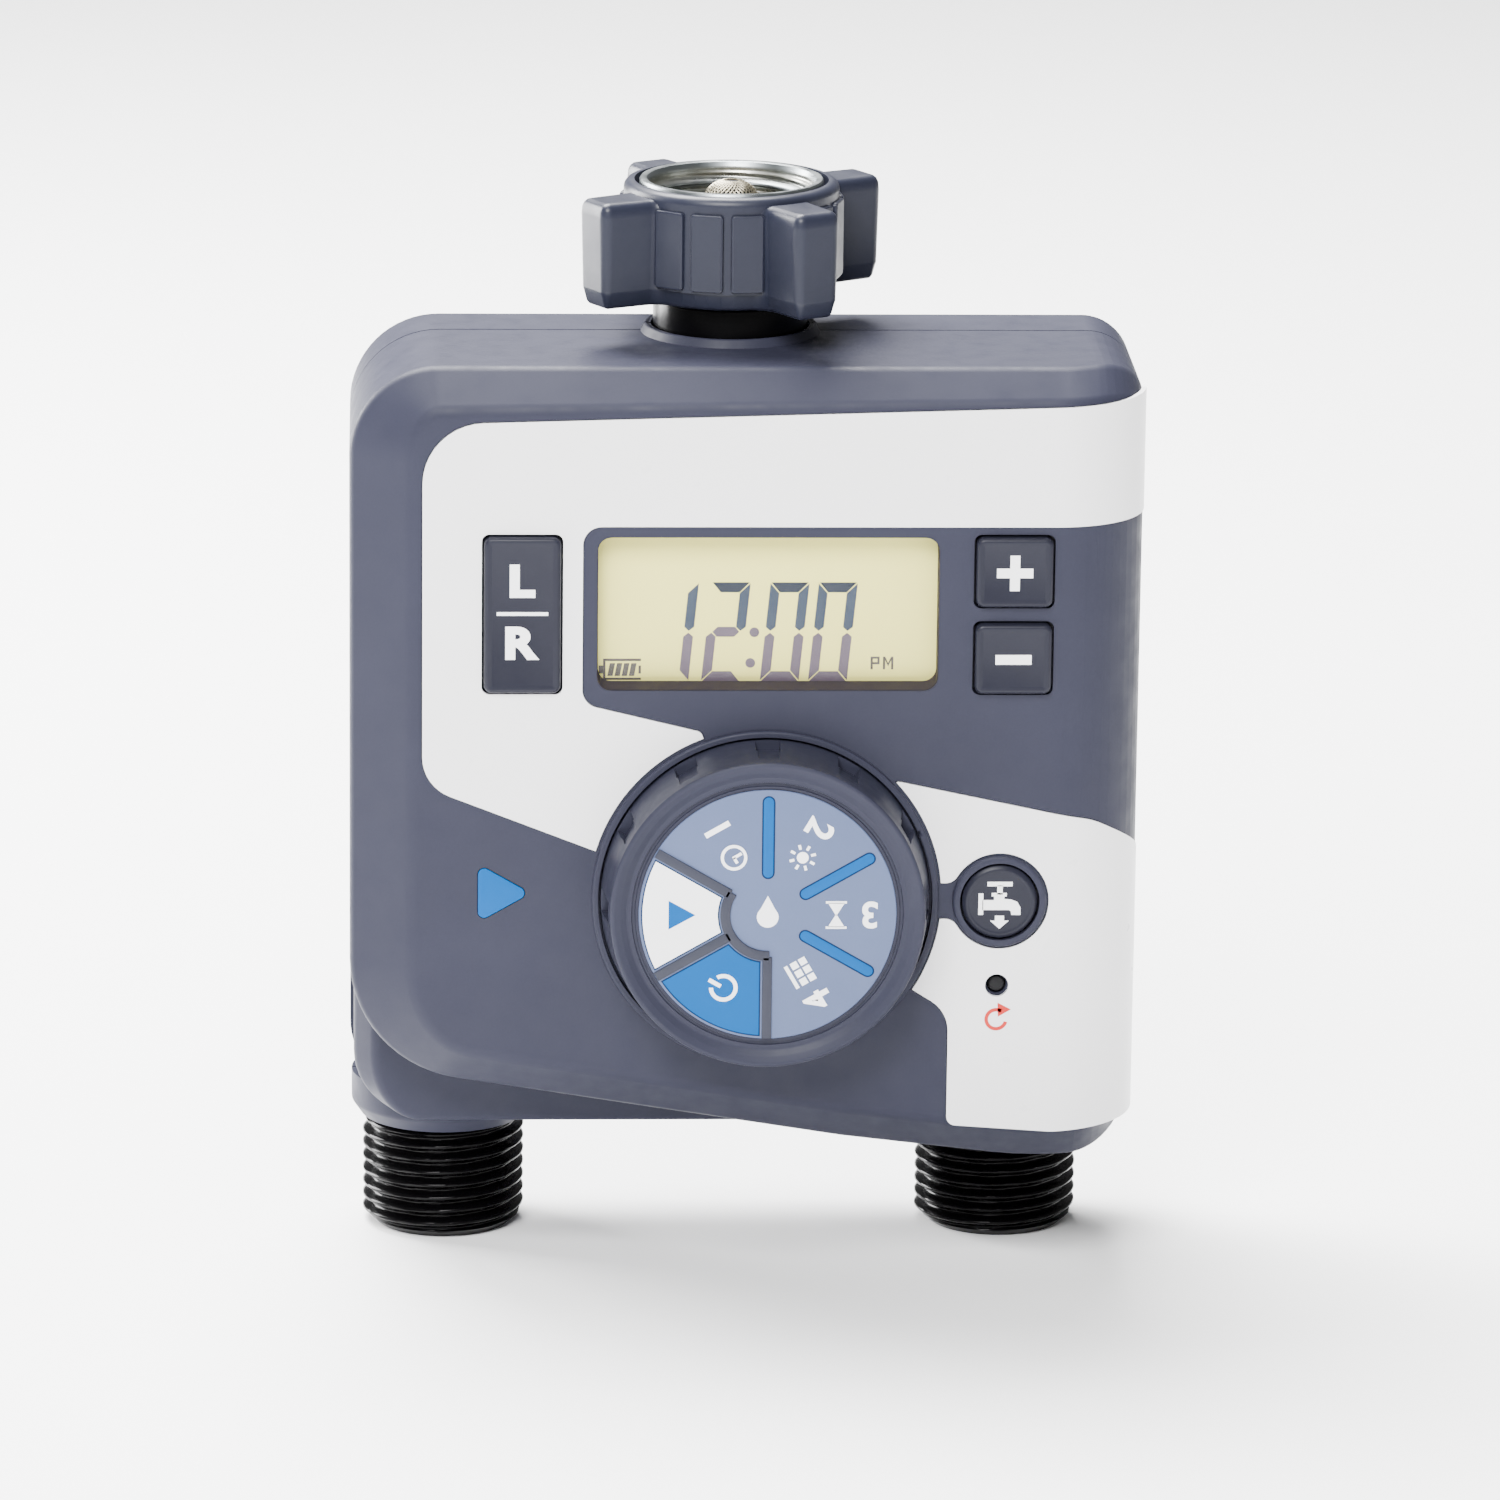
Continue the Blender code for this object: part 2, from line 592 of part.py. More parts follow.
def make_rear_housing():
    outline = rounded(REAR_CORNERS)
    front_y = PIPE_Y - 3.0 * MM
    sections = [(outline, front_y), (outline, BACK_Y - BACK_BEVEL),
                (inset(outline, 1.3 * MM), BACK_Y - 1.3 * MM), (inset(outline, BACK_BEVEL), BACK_Y)]
    shell = mesh_object("rear_housing", loft(sections), "housing")
    low_z, high_z = BAY_LOW_Z - BAY_WALL, BAY_HIGH_Z + BAY_WALL
    side_x = BAY_X + BAY_WALL
    join(shell, box("bay_bulge", (-side_x, BACK_Y - 3.0 * MM, low_z), (side_x, BAY_BACK_Y, high_z)))
    add_collars(shell)
    cavity = [(inset(outline, WALL), PIPE_Y - 6.0 * MM),
              (inset(outline, WALL), BACK_Y - BACK_BEVEL),
              (inset(outline, WALL + 3.2 * MM), BACK_Y - WALL)]
    cut(shell, mesh_object("rear_cavity", loft(cavity), None))
    join(shell, box("bay_box", (-side_x + 0.01 * MM, BAY_FLOOR_Y - 1.0 * MM, low_z + 0.01 * MM),
                    (side_x - 0.01 * MM, BAY_BACK_Y - 1.0 * MM, high_z - 0.01 * MM)))
    cut(shell, box("bay_hollow", (-BAY_X, BAY_FLOOR_Y, BAY_LOW_Z), (BAY_X, 0.1, BAY_HIGH_Z)))
    for z in (97.0 * MM, 101.0 * MM):
        cut(shell, rod("lead_hole", 1.3 * MM, 30.0 * MM, 36.0 * MM,
                       (0.0, PIPE_Y + 13.0 * MM, z), "X", steps=12))
    for x, z in UPPER_SCREWS + LOWER_SCREWS:
        place = centred(x, z)
        join(shell, rod("rear_boss", 4.7 * MM, -15.5 * MM, 0.5 * MM, place, "Y", steps=16))
        cut(shell, rod("screw_hole", 1.8 * MM, -20.0 * MM, 4.0 * MM, place, "Y", steps=12),
            rod("head_hole", 3.4 * MM, -20.0 * MM, -11.5 * MM, place, "Y", steps=16))
    pipe_holes(shell)
    cut(shell, box("rear_seam", (-0.1, -0.1, -0.1), (0.1, PIPE_Y + SEAM, 0.3)))


def make_screws():
    head, neck, tip = -11.9 * MM, -14.2 * MM, 10.0 * MM
    profile = [(0.0, tip), (1.3 * MM, tip - 1.0 * MM), (1.3 * MM, head), (2.9 * MM, head),
               (2.6 * MM, neck), (0.0, neck)]
    names = ("screw_upper_left", "screw_upper_right", "screw_lower_left", "screw_lower_right")
    for name, (x, z) in zip(names, UPPER_SCREWS + LOWER_SCREWS):
        item = turned(name, profile, centred(x, z), "Y", "steel", steps=8)
        slot = 0.35 * MM
        place = Vector(centred(x, z))
        for across in (Vector((2.0 * MM, 0.0, slot)), Vector((slot, 0.0, 2.0 * MM))):
            low = place - across + Vector((0.0, 12.9 * MM, 0.0))
            cut(item, box(name + "_cross", low, place + across + Vector((0.0, 16.0 * MM, 0.0))))


def make_face_trim():
    sunk = FACE_Y + PANEL_SINK
    proud = FACE_Y - PANEL_PROUD
    panel_plate("upper_panel", UPPER_PANEL, proud, sunk, 0.0, "white")
    panel_plate("lower_panel", LOWER_PANEL, proud, sunk, 0.0, "white")
    plate("pointer_mark", rounded(POINTER, 4), proud, sunk, "blue")


# ---------------------------------------------------------------- water path

def thread_ridge(name, centre):
    """Square section ridge, standing on its edge, that winds down an outlet."""
    high = 16.9 * MM
    low = high - THREAD_PITCH * THREAD_TURNS
    depth = 1.02 * MM
    points = helix(centre, THREAD_RADIUS - depth, high, low, THREAD_TURNS, THREAD_STEPS)
    curve = bpy.data.curves.new(name, "CURVE")
    curve.dimensions = "3D"
    curve.bevel_depth = depth
    curve.bevel_resolution = 0
    curve.use_fill_caps = True
    curve.twist_mode = "Z_UP"
    spline = curve.splines.new("POLY")
    spline.points.add(len(points) - 1)
    for target, point in zip(spline.points, points):
        target.co = (*point, 1.0)
    return curve_to_mesh(name, curve, None)


def curve_to_mesh(name, curve, finish):
    guide = bpy.data.objects.new(name + "_guide", curve)
    PARTS.objects.link(guide)
    bpy.context.view_layer.update()
    evaluated = guide.evaluated_get(bpy.context.evaluated_depsgraph_get())
    mesh = bpy.data.meshes.new_from_object(evaluated)
    bpy.data.objects.remove(guide, do_unlink=True)
    bm = bmesh.new()
    bm.from_mesh(mesh)
    bpy.data.meshes.remove(mesh)
    bmesh.ops.remove_doubles(bm, verts=bm.verts, dist=0.000001)
    return mesh_object(name, bm, finish)


def make_manifold():
    left_x, right_x = OUTLET_X
    inlet = (INLET_X, PIPE_Y, 0.0)
    middle = (0.0, PIPE_Y, CROSS_Z)
    reach = CHAMBER_BORE + 0.2 * MM
    body = rod("valve_manifold", 7.4 * MM, left_x + reach, right_x - reach, middle, "X", "black")
    inlet_profile = [
        (0.0, NECK_TOP_Z), (NECK_TUBE, NECK_TOP_Z), (NECK_TUBE, 162.1 * MM),
        (9.2 * MM, 162.1 * MM), (9.2 * MM, 160.3 * MM), (NECK_TUBE, 160.3 * MM),
        (NECK_TUBE, 157.0 * MM), (NECK_RADIUS, 157.0 * MM), (NECK_RADIUS, 148.0 * MM),
        (PIPE_RADIUS, 146.0 * MM), (PIPE_RADIUS, 34.0 * MM), (0.0, 34.0 * MM)]
    join(body, turned("inlet_pipe", inlet_profile, inlet))
    outlet_profile = [
        (CHAMBER_RADIUS, 54.0 * MM), (CHAMBER_RADIUS, CHAMBER_LOW_Z),
        (THREAD_ROOT, CHAMBER_LOW_Z - 1.0 * MM), (THREAD_ROOT, 0.8 * MM),
        (THREAD_ROOT - 0.8 * MM, 0.0), (OUTLET_BORE, 0.0), (OUTLET_BORE, 30.0 * MM),
        (SEAT_BORE, 32.0 * MM), (SEAT_BORE, SEAT_Z), (SEAT_RADIUS, SEAT_Z),
        (SEAT_RADIUS, 38.4 * MM), (CHAMBER_BORE, 38.4 * MM), (CHAMBER_BORE, 54.0 * MM)]
    for side, x in zip(SIDES, OUTLET_X):
        place = (x, PIPE_Y, 0.0)
        join(body, turned(side + "_outlet", outlet_profile, place, steps=THREAD_STEPS))
        join(body, thread_ridge(side + "_thread", Vector(place)))
    cut(body, rod("inlet_bore", PIPE_BORE, CROSS_Z, 170.0 * MM, inlet),
        rod("cross_bore", 5.3 * MM, left_x + 9.0 * MM, right_x - 9.0 * MM, middle, "X"))


def make_valve(side, x):
    place = (x, PIPE_Y, 0.0)
    disc = [(0.0, 55.7 * MM), (12.0 * MM, 55.7 * MM), (12.0 * MM, 54.3 * MM), (9.6 * MM, 54.3 * MM),
            (7.6 * MM, 53.0 * MM), (0.0, 52.6 * MM)]
    turned(side + "_diaphragm", disc, place, finish="rubber", steps=16)
    bonnet = [
        (0.0, 92.6 * MM), (4.4 * MM, 92.6 * MM), (4.4 * MM, 62.4 * MM), (9.0 * MM, 62.4 * MM),
        (12.2 * MM, 59.0 * MM), (12.2 * MM, 56.0 * MM), (10.6 * MM, 56.0 * MM),
        (8.0 * MM, 60.4 * MM), (3.4 * MM, 60.4 * MM), (3.4 * MM, 90.6 * MM), (0.0, 90.6 * MM)]
    turned(side + "_valve_bonnet", bonnet, place, finish="black", steps=16)
    coil = [
        (10.4 * MM, 90.2 * MM), (10.4 * MM, 89.0 * MM), (9.6 * MM, 89.0 * MM),
        (9.6 * MM, 65.6 * MM), (10.4 * MM, 65.6 * MM), (10.4 * MM, 64.4 * MM),
        (4.7 * MM, 64.4 * MM), (4.7 * MM, 90.2 * MM)]
    turned(side + "_solenoid_coil", coil, place, finish="copper", steps=16)
    frame = box(side + "_solenoid_frame", (x - 6.0 * MM, PIPE_Y - 12.2 * MM, 62.8 * MM),
                (x + 6.0 * MM, PIPE_Y + 12.2 * MM, 91.8 * MM), "steel")
    cut(frame, box(side + "_frame_gap", (x - 9.0 * MM, PIPE_Y - 10.8 * MM, 64.1 * MM),
                   (x + 9.0 * MM, PIPE_Y + 10.8 * MM, 90.5 * MM)),
        rod(side + "_frame_hole", 4.7 * MM, 60.0 * MM, 95.0 * MM, place))
    plunger = [(0.0, 80.0 * MM), (2.6 * MM, 80.0 * MM), (3.05 * MM, 79.5 * MM),
               (3.05 * MM, 58.0 * MM), (1.2 * MM, 56.3 * MM), (0.0, 56.3 * MM)]
    turned(side + "_plunger", plunger, place, finish="steel", steps=12)
    wire(side + "_plunger_spring", helix(Vector(place), 2.2 * MM, 80.7 * MM, 89.9 * MM, 4, 6),
         0.35 * MM, "steel")


def make_nut():
    inlet = (INLET_X, PIPE_Y, 0.0)
    cup = [(NUT_RADIUS - 0.8 * MM, NUT_HIGH_Z), (NUT_RADIUS, NUT_HIGH_Z - 0.8 * MM),
           (NUT_RADIUS, NUT_LOW_Z + 1.0 * MM), (NUT_RADIUS - 1.0 * MM, NUT_LOW_Z),
           (10.2 * MM, NUT_LOW_Z), (10.2 * MM, NUT_LOW_Z + NUT_WEB),
           (NUT_BORE, NUT_LOW_Z + NUT_WEB), (NUT_BORE, NUT_HIGH_Z)]
    nut = turned("swivel_nut", cup, inlet, finish="housing", steps=36)
    for angle in LUG_ANGLES:
        name = "lug_%d" % angle
        bm = bmesh.new()
        bmesh.ops.create_cube(bm, size=1.0)
        size = Vector((LUG_REACH - 16.6 * MM, LUG_WIDTH, NUT_HIGH_Z - NUT_LOW_Z - 0.6 * MM))
        bmesh.ops.scale(bm, vec=size, verts=bm.verts)
        side_edges = [e for e in bm.edges if all(v.co.x > 0.0 for v in e.verts)]
        bmesh.ops.bevel(bm, geom=side_edges, offset=1.6 * MM, segments=2, profile=0.5,
                        affect="EDGES")
        middle_z = (NUT_HIGH_Z + NUT_LOW_Z) / 2
        centre = Vector(((LUG_REACH + 16.6 * MM) / 2, 0.0, middle_z))
        bmesh.ops.translate(bm, vec=centre, verts=bm.verts)
        bmesh.ops.rotate(bm, matrix=Matrix.Rotation(math.radians(angle), 3, "Z"), verts=bm.verts)
        bmesh.ops.translate(bm, vec=Vector((INLET_X, PIPE_Y, 0.0)), verts=bm.verts)
        join(nut, mesh_object(name, bm, None))
    insert = [(15.5 * MM, 176.3 * MM), (15.6 * MM, 162.4 * MM), (13.3 * MM, 162.4 * MM),
              (13.3 * MM, 175.3 * MM), (14.2 * MM, 176.3 * MM)]
    turned("nut_insert", insert, inlet, finish="metal", steps=32)
    ring("nut_retaining_ring", 9.5 * MM, 12.4 * MM, 160.5 * MM, 161.9 * MM, inlet, finish="steel")
    ring("inlet_washer", 7.0 * MM, 12.9 * MM, 163.5 * MM, 165.8 * MM, inlet, finish="rubber")
    screen = [(0.0, 176.0 * MM), (1.9 * MM, 175.7 * MM), (3.3 * MM, 174.8 * MM),
              (4.2 * MM, 173.0 * MM), (4.5 * MM, 171.0 * MM), (5.6 * MM, 164.2 * MM),
              (6.7 * MM, 164.2 * MM), (6.7 * MM, 163.5 * MM), (5.0 * MM, 163.5 * MM),
              (3.9 * MM, 170.9 * MM), (3.6 * MM, 172.7 * MM), (2.8 * MM, 174.2 * MM),
              (0.0, 175.2 * MM)]
    turned("filter_screen", screen, inlet, finish="steel", steps=16)


# ---------------------------------------------------------------- controls

def make_dial():
    place = centred(DIAL_X, DIAL_Z)
    profile = [
        (0.0, 43.9 * MM), (22.7 * MM, 43.9 * MM), (DIAL_FRONT_RADIUS - 0.4 * MM, DIAL_FRONT),
        (DIAL_FRONT_RADIUS, DIAL_FRONT - 0.3 * MM), (DIAL_RADIUS, DIAL_BACK),
        (24.8 * MM, DIAL_BACK), (23.6 * MM, 42.2 * MM), (6.4 * MM, 42.2 * MM),
        (6.4 * MM, DIAL_BACK), (3.8 * MM, DIAL_BACK), (3.8 * MM, 42.6 * MM), (0.0, 42.6 * MM)]
    knob = turned("dial_knob", profile, place, "Y", "housing", steps=36)
    bm = bmesh.new()
    for notch in range(DIAL_NOTCHES):
        spin = Matrix.Rotation(math.tau * notch / DIAL_NOTCHES, 4, "Y")
        shift = Matrix.Translation((26.5 * MM, -39.2 * MM, 0.0))
        size = Matrix.Diagonal((2.4 * MM, 7.0 * MM, 3.9 * MM, 1.0))
        bmesh.ops.create_cube(bm, size=1.0, matrix=spin @ shift @ size)
    bmesh.ops.translate(bm, vec=Vector(place), verts=bm.verts)
    cut(knob, mesh_object("dial_notches", bm, None))
    rod("dial_label", LABEL_RADIUS, 44.2 * MM, 44.7 * MM, place, "Y", "label", steps=36)
    rotor = [(0.0, 42.3 * MM), (SHAFT_RADIUS, 42.3 * MM), (SHAFT_RADIUS, 30.0 * MM),
             (9.0 * MM, 30.0 * MM), (9.0 * MM, 26.0 * MM), (0.0, 26.0 * MM)]
    turned("switch_rotor", rotor, place, "Y", "natural", steps=16)
    ring("switch_base", 9.4 * MM, 13.0 * MM, 25.1 * MM, 30.5 * MM, place, "Y", "black", steps=16)


def make_key(name, x_low, x_high, z_low, z_high):
    """Key cap, retaining flange and pusher in one piece."""
    front, shoulder = FACE_Y - KEY_PROUD, FACE_Y + WALL + GAP
    cap = plate(name, rectangle(x_low, x_high, z_low, z_high, 1.0 * MM), front, shoulder, "key")
    edge = 1.0 * MM
    flange = box(name + "_flange", (x_low - edge, shoulder - 0.2 * MM, z_low - edge),
                 (x_high + edge, shoulder + 0.8 * MM, z_high + edge))
    middle_x, middle_z = (x_low + x_high) / 2, (z_low + z_high) / 2
    stem = box(name + "_stem", (middle_x - 3.0 * MM, shoulder, middle_z - 3.0 * MM),
               (middle_x + 3.0 * MM, KEYPAD_Y - GAP - KEY_TRAVEL, middle_z + 3.0 * MM))
    join(cap, flange, stem)


def make_keys():
    for name, span in KEYS.items():
        make_key(name, *span)
    stop = PIPE_Y - KEYPAD_Y + GAP + KEY_TRAVEL
    inner = FACE_DEPTH - WALL
    manual = [(0.0, 35.2 * MM), (5.6 * MM, 35.2 * MM), (MANUAL_RADIUS, 34.8 * MM),
              (MANUAL_RADIUS, inner - GAP), (7.4 * MM, inner - GAP), (7.4 * MM, inner - 1.1 * MM),
              (3.0 * MM, inner - 1.1 * MM), (3.0 * MM, stop), (0.0, stop)]
    turned("button_manual", manual, centred(MANUAL_X, MANUAL_Z), "Y", "key", steps=20)
    reset = [(0.0, 33.3 * MM), (1.3 * MM, 33.3 * MM), (1.3 * MM, inner - GAP),
             (2.4 * MM, inner - GAP), (2.4 * MM, inner - 1.1 * MM), (1.3 * MM, inner - 1.1 * MM),
             (1.3 * MM, stop), (0.0, stop)]
    turned("button_reset", reset, centred(RESET_X, RESET_Z), "Y", "key", steps=10)


def make_electronics():
    x_low, x_high, z_low, z_high = LCD_OPENING
    box("lcd_window", (x_low - 2.6 * MM, LCD_Y, z_low - 2.2 * MM),
        (x_high + 2.6 * MM, LCD_Y + 1.0 * MM, z_high + 2.2 * MM), "lens")
    box("lcd_panel", (x_low - 3.6 * MM, LCD_Y + 1.3 * MM, z_low - 3.2 * MM),
        (x_high + 3.6 * MM, LCD_Y + 4.1 * MM, z_high + 3.0 * MM), "lcd")
    box("lcd_connector", (x_low, LCD_Y + 4.4 * MM, z_low - 2.4 * MM),
        (x_high, BOARD_Y - GAP, z_low + 0.6 * MM), "rubber")
    board_back = BOARD_Y + BOARD_THICKNESS
    board = box("circuit_board", (-52.0 * MM, BOARD_Y, 46.0 * MM), (52.0 * MM, board_back, 132.0 * MM),
                "board")
    cut(board, rod("board_hole", 9.8 * MM, 20.0 * MM, 28.0 * MM, centred(DIAL_X, DIAL_Z), "Y"))
    box("controller_chip", (-6.0 * MM, board_back + GAP, 108.0 * MM),
        (6.0 * MM, board_back + 1.9 * MM, 120.0 * MM), "black", 0.3 * MM)
    pad_back = KEYPAD_Y + KEYPAD_THICKNESS
    box("keypad_left", (-45.0 * MM, KEYPAD_Y, 97.0 * MM), (-29.0 * MM, pad_back, 127.0 * MM),
        "rubber")
    box("keypad_right", (33.0 * MM, KEYPAD_Y, 47.0 * MM), (50.5 * MM, pad_back, 127.0 * MM),
        "rubber")


def make_lead(name, start, end, middle, finish):
    points = [Vector(start)] + [Vector(p) for p in middle] + [Vector(end)]
    wire(name, smooth_route(points, 8), 0.75 * MM, finish)


def make_leads():
    board_back = BOARD_Y + BOARD_THICKNESS + GAP
    for side, x, turn in (("left", OUTLET_X[0], 1.0), ("right", OUTLET_X[1], -1.0)):
        start = (x + turn * 11.0 * MM, PIPE_Y, 80.0 * MM)
        middle = [(x + turn * 15.0 * MM, PIPE_Y - 2.0 * MM, 88.0 * MM),
                  (x + turn * 16.0 * MM, PIPE_Y - 13.0 * MM, 92.0 * MM)]
        end = (x + turn * 16.0 * MM, board_back, 92.0 * MM)
        make_lead(side + "_coil_lead", start, end, middle, "blue")
    wall_x = BAY_X + BAY_WALL
    for name, z, finish, end_x in (("battery_lead_positive", 101.0 * MM, "red", 40.0 * MM),
                                   ("battery_lead_negative", 97.0 * MM, "black", 36.5 * MM)):
        start = (BAY_X + 0.3 * MM, PIPE_Y + 13.0 * MM, z)
        middle = [(wall_x + 1.5 * MM, PIPE_Y + 12.6 * MM, z), (end_x, PIPE_Y + 3.0 * MM, z + 2.0 * MM),
                  (end_x, PIPE_Y - 12.0 * MM, z + 6.0 * MM)]
        make_lead(name, start, (end_x, board_back, z + 6.0 * MM), middle, finish)


# ---------------------------------------------------------------- battery bay

def make_battery_bay():
    door = box("battery_door", (-36.4 * MM, BAY_BACK_Y + GAP, 61.0 * MM),
               (36.4 * MM, DOOR_BACK_Y, 107.0 * MM), "housing", 0.8 * MM)
    for side in (-1.0, 1.0):
        inner, outer = side * (BAY_X + BAY_WALL + 0.5 * MM), side * 36.2 * MM
        low_x, high_x = sorted((inner, outer))
        join(door, box("door_lip", (low_x, BAY_BACK_Y - 4.0 * MM, 62.0 * MM),
                       (high_x, DOOR_BACK_Y - 1.0 * MM, 106.0 * MM)))
    for rib in range(3):
        z = (98.0 + 2.4 * rib) * MM
        cut(door, box("thumb_groove", (-9.0 * MM, DOOR_BACK_Y - 0.6 * MM, z),
                      (9.0 * MM, DOOR_BACK_Y + 1.0 * MM, z + 1.2 * MM)))
    for level, z in CELLS.items():
        turn = 1.0 if level == "upper" else -1.0
        body, nub = CELL_HALF - 1.6 * MM, CELL_HALF
        profile = [(0.0, nub), (2.7 * MM, nub), (2.7 * MM, body), (6.6 * MM, body),
                   (CELL_RADIUS, body - 0.6 * MM), (CELL_RADIUS, -CELL_HALF + 0.6 * MM),
                   (6.6 * MM, -CELL_HALF), (0.0, -CELL_HALF)]
        item = turned("battery_" + level, profile, (0.0, CELL_Y, z), "X", "cell", steps=16)
        item.rotation_euler.y *= turn
        spring_ends = (-turn * (CELL_HALF + 0.7 * MM), -turn * (BAY_X - 1.9 * MM))
        centre = Vector((0.0, CELL_Y, z))
        wire("contact_spring_" + level, helix(centre, 3.0 * MM, *spring_ends, 3, 6, "X"),
             0.4 * MM, "steel")
    plate_low, plate_high = BAY_X - 1.0 * MM, BAY_X - 0.4 * MM
    upper_z, lower_z = CELLS["upper"], CELLS["lower"]
    y_low, y_high = CELL_Y - 5.0 * MM, CELL_Y + 5.0 * MM
    box("contact_link", (-plate_high, y_low, lower_z - 5.0 * MM),
        (-plate_low, y_high, upper_z + 5.0 * MM), "steel")
    for name, z in (("contact_positive", upper_z), ("contact_negative", lower_z)):
        box(name, (plate_low, y_low, z - 5.0 * MM), (plate_high, y_high, z + 5.0 * MM), "steel")


def shade_round_pieces():
    for item in PARTS.objects:
        if item.type == "MESH":
            item.data.shade_smooth()
            item.data.set_sharp_from_angle(angle=math.radians(35.0))


def build():
    make_front_housing()
    make_rear_housing()
    make_screws()
    make_face_trim()
    make_manifold()
    for side, x in zip(SIDES, OUTLET_X):
        make_valve(side, x)
    make_nut()
    make_dial()
    make_keys()
    make_electronics()
    make_leads()
    make_battery_bay()
    shade_round_pieces()


build()
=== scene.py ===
"""Looks of the drip irrigation timer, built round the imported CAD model. Metres, +Z up."""
import math

import bmesh
import bpy
from mathutils import Matrix, Vector


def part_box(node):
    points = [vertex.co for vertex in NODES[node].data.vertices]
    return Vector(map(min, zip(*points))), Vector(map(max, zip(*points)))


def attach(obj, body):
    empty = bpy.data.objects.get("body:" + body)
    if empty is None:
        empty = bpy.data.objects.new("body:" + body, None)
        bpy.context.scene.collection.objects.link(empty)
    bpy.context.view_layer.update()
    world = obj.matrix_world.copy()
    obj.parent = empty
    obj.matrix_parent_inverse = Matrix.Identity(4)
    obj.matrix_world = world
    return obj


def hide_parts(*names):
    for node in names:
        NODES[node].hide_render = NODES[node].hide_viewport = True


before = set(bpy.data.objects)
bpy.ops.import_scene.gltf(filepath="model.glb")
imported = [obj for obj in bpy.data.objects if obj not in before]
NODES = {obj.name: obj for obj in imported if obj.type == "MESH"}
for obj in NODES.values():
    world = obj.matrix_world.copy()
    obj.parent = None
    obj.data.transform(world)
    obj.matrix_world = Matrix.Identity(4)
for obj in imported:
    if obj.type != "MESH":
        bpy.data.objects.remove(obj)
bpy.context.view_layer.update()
MM = 0.001
AXIS_RADIUS = 0.00001                # keeps the points on an axis apart


def middle_of(node):
    low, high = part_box(node)
    return (low + high) / 2


# ---------------------------------------------------------------- driving dimensions
# Anchors come from the frame; the rest repeats the design's own sizes.

INSERT_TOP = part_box("nut_insert")[1].z / MM
NUT_LOW, NUT_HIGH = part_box("swivel_nut")
KNOB_FRONT_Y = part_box("dial_knob")[0].y
INLET_X = middle_of("nut_insert").x
PIPE_Y = middle_of("nut_insert").y
DIAL_X, DIAL_Z = middle_of("dial_knob").xz

FACE_Y = PIPE_Y - 34.3 * MM          # flat front face
EDGE_Y = PIPE_Y - 28.3 * MM          # where the bevels meet the side walls
BACK_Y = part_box("rear_housing")[1].y - 8.5 * MM
HALF_WIDTH = 64.0 * MM
TOP_Z = 151.0 * MM
WALL = 2.2 * MM
SEAM = 0.22 * MM
SIDE_BEVEL = 10.0 * MM
TOP_BEVEL = 6.2 * MM
WRAP_RADIUS = 15.0 * MM
WRAP_X = HALF_WIDTH - WRAP_RADIUS
COVER_CORNERS = [(-64.0, 35.2, 20.5), (16.0, 22.6, 60.0), (44.0, 19.3, 60.0),
                 (64.0, 19.3, 11.0), (64.0, 151.0, 8.0), (-64.0, 151.0, 14.5)]
REAR_CORNERS = [(-64.0, 22.0, 12.0), (64.0, 22.0, 12.0), (64.0, 151.0, 8.0),
                (-64.0, 151.0, 14.5)]
BLOCK_SPAN_X = (-63.4, 40.0)
BLOCK_SPAN_Z = (22.0, 62.0)
BLOCK_FRONT_Y = PIPE_Y - 18.0 * MM
BLOCK_CORNER = 11.0
BLOCK_BEVEL, BLOCK_LEAN = 4.0 * MM, 3.4 * MM
OUTLETS_X = (-48.6 * MM, 43.4 * MM)
OUTLET_HOLE, INLET_HOLE = 12.4, 12.95     # radii


# ---------------------------------------------------------------- mesh helpers

def ray(radius, turn):
    """Point at a radius and an angle in radians."""
    return radius * math.cos(turn), radius * math.sin(turn)


def link(name, data):
    item = bpy.data.objects.new(name, data)
    bpy.context.scene.collection.objects.link(item)
    return item


def mesh_object(name, bm, smooth=32.0):
    mesh = bpy.data.meshes.new(name)
    bmesh.ops.recalc_face_normals(bm, faces=bm.faces)
    if bm.calc_volume(signed=True) < 0.0:
        bmesh.ops.reverse_faces(bm, faces=bm.faces)
    bm.to_mesh(mesh)
    bm.free()
    mesh.shade_smooth()
    mesh.set_sharp_from_angle(angle=math.radians(smooth))
    return link(name, mesh)


def bake(item, smooth=32.0):
    """Apply every modifier, and remove the shapes that the Booleans used."""
    used = [m.object for m in item.modifiers if m.type == "BOOLEAN"]
    evaluated = item.evaluated_get(bpy.context.evaluated_depsgraph_get())
    mesh = bpy.data.meshes.new_from_object(evaluated)
    item.modifiers.clear()
    item.data = mesh
    for cutter in used:
        bpy.data.objects.remove(cutter, do_unlink=True)
    mesh.shade_smooth()
    mesh.set_sharp_from_angle(angle=math.radians(smooth))
    return item


def boolean(item, other, operation):
    modifier = item.modifiers.new(other.name, "BOOLEAN")
    modifier.operation = operation
    modifier.object = other
    modifier.solver = "EXACT"


def cut(item, *others):
    for other in others:
        boolean(item, other, "DIFFERENCE")


def join(item, *others):
    for other in others:
        boolean(item, other, "UNION")


def weighted(item):
    """Flat faces keep flat shading beside their rounded edges."""
    modifier = item.modifiers.new("flat_shading", "WEIGHTED_NORMAL")
    modifier.keep_sharp = True
    modifier.weight = 80


